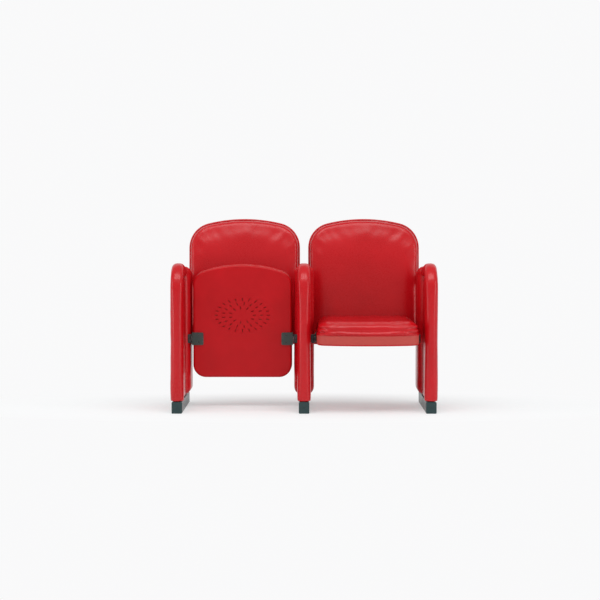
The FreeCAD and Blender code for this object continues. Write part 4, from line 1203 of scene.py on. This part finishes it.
def page_finish(name):
    """A pale surface that shows shadows near the seats and turns to plain page white further out."""
    studio = chosen("studio")
    material, tree, shader = new_finish(name, 0.9, specular=0.1)
    shader.inputs["Base Color"].default_value = (*studio.floor_colour, 1.0)
    glow = tree.nodes.new("ShaderNodeEmission")
    glow.inputs["Color"].default_value = (*studio.page_white, 1.0)
    path = tree.nodes.new("ShaderNodeLightPath")
    mirrored = math_node(tree, "MAXIMUM", path.outputs["Is Glossy Ray"], path.outputs["Is Transmission Ray"])
    seen = math_node(tree, "MAXIMUM", path.outputs["Is Camera Ray"], mirrored)
    squeeze = tree.nodes.new("ShaderNodeMapping")
    squeeze.inputs["Location"].default_value = SHADOW_SHIFT
    squeeze.inputs["Scale"].default_value = SHADOW_SHAPE
    link(tree, tree.nodes.new("ShaderNodeTexCoord").outputs["Object"], squeeze.inputs["Vector"])
    reach = tree.nodes.new("ShaderNodeVectorMath")
    reach.operation = "LENGTH"
    link(tree, squeeze.outputs["Vector"], reach.inputs[0])
    share = remap(tree, reach.outputs["Value"], studio.page_near, studio.page_far, studio.page_share, 1.0)
    link(tree, remap(tree, share, studio.page_share, 1.0, SHADOW_GLOW, 1.0), glow.inputs["Strength"])
    mixer = tree.nodes.new("ShaderNodeMixShader")
    link(tree, math_node(tree, "MULTIPLY", seen, share), mixer.inputs[0])
    link(tree, shader.outputs[0], mixer.inputs[1])
    link(tree, glow.outputs[0], mixer.inputs[2])
    link(tree, mixer.outputs[0], tree.nodes["Material Output"].inputs["Surface"])
    return material


# Each soft light: its name, its power's setting, its width and height, and its place
LIGHTS = (
    ("front_light", "key_power", 4.4, 1.8, (0.0, -2.0, 4.0)),
    ("left_strip", "left_power", 0.13, 2.0, (-3.0, -1.0, 1.1)),
    ("right_strip", "right_power", 0.13, 2.0, (2.8, -1.7, 1.1)),
)
LIGHT_TARGET = (0.0, 0.0, 0.45)


def soft_light(name, power, wide, high, place):
    lamp = bpy.data.lights.new(name, "AREA")
    lamp.shape = "RECTANGLE"
    lamp.energy = power
    lamp.size = wide
    lamp.size_y = high
    holder = bpy.data.objects.new(name, lamp)
    bpy.context.scene.collection.objects.link(holder)
    holder.location = place
    aim = Vector(LIGHT_TARGET) - Vector(place)
    holder.rotation_euler = aim.to_track_quat("-Z", "Y").to_euler()


def sweep_mesh(name, half_wide, front, rear, high, radius):
    """A floor that turns up into a backdrop through one large curve."""
    profile = [(front, 0.0), (rear - radius, 0.0)]
    steps = 12
    for i in range(1, steps + 1):
        angle = math.pi / 2 * i / steps
        profile.append((rear - radius + radius * math.sin(angle), radius - radius * math.cos(angle)))
    profile.append((rear, high))
    bm = bmesh.new()
    rows = [[bm.verts.new((x, y, z)) for x in (-half_wide, half_wide)] for y, z in profile]
    for first, second in zip(rows, rows[1:]):
        bm.faces.new((first[0], first[1], second[1], second[0]))
    mesh = mesh_from(bm, name)
    smooth_shaded(mesh)
    return mesh


class SEATPAIR_OT_studio(bpy.types.Operator):
    """Make the camera, the pale floor and backdrop and the soft lights"""
    bl_idname = "seat_pair.studio"
    bl_label = "Studio"

    def execute(self, context):
        studio = chosen("studio")
        scene = context.scene
        scene.view_settings.view_transform = "Standard"
        arm_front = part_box("arm_roll_centre")[0].y
        camera = bpy.data.cameras.new("camera")
        camera.lens = studio.lens
        camera.sensor_width = 36.0
        camera.clip_end = 100.0
        holder = bpy.data.objects.new("camera", camera)
        scene.collection.objects.link(holder)
        holder.location = (0.0, arm_front - studio.camera_gap, studio.camera_height)
        aim = Vector((studio.aim_x, arm_front, studio.aim_z))
        holder.rotation_euler = (aim - holder.location).to_track_quat("-Z", "Y").to_euler()
        scene.camera = holder

        sweep = sweep_mesh("studio_floor", half_wide=9.0, front=-9.0, rear=6.0, high=7.0, radius=2.0)
        floor = linked("studio_floor", sweep)
        floor.data.materials.append(page_finish("studio_page"))

        for name, setting, wide, high, place in LIGHTS:
            soft_light(name, getattr(studio, setting), wide, high, place)

        world = bpy.data.worlds.new("studio_world")
        world.use_nodes = True
        sky = world.node_tree.nodes["Background"]
        sky.inputs["Color"].default_value = (1.0, 1.0, 1.0, 1.0)
        sky.inputs["Strength"].default_value = studio.sky_strength
        scene.world = world
        return {"FINISHED"}


STEPS = (
    SEATPAIR_OT_studio, SEATPAIR_OT_feet, SEATPAIR_OT_steelwork, SEATPAIR_OT_pivots, SEATPAIR_OT_arm_rolls,
    SEATPAIR_OT_arm_bolsters, SEATPAIR_OT_arm_panels, SEATPAIR_OT_back_cushions,
    SEATPAIR_OT_back_covers, SEATPAIR_OT_seat_cushions, SEATPAIR_OT_seat_pans,
)


class SEATPAIR_PT_panel(bpy.types.Panel):
    """Lists the settings and the steps that make the seats"""
    bl_idname = "SEATPAIR_PT_panel"
    bl_label = "Seat Pair"
    bl_space_type = "VIEW_3D"
    bl_region_type = "UI"
    bl_category = "Seat Pair"

    def draw(self, context):
        for kind, group in SETTINGS.items():
            box = self.layout.box()
            box.label(text=kind.capitalize())
            for name in group.__annotations__:
                box.prop(getattr(context.scene, "seat_pair_" + kind), name)
        for step in STEPS:
            self.layout.operator(step.bl_idname)


def register():
    for group in SETTINGS.values():
        bpy.utils.register_class(group)
    for kind, group in SETTINGS.items():
        setattr(bpy.types.Scene, "seat_pair_" + kind, bpy.props.PointerProperty(type=group))
    for step in (*STEPS, SEATPAIR_PT_panel):
        bpy.utils.register_class(step)


def unregister():
    for step in (*STEPS, SEATPAIR_PT_panel):
        bpy.utils.unregister_class(step)
    for kind, group in SETTINGS.items():
        delattr(bpy.types.Scene, "seat_pair_" + kind)
        bpy.utils.unregister_class(group)


def main():
    register()
    for step in STEPS:
        family, name = step.bl_idname.split(".")
        getattr(getattr(bpy.ops, family), name)()


if __name__ == "__main__":
    main()
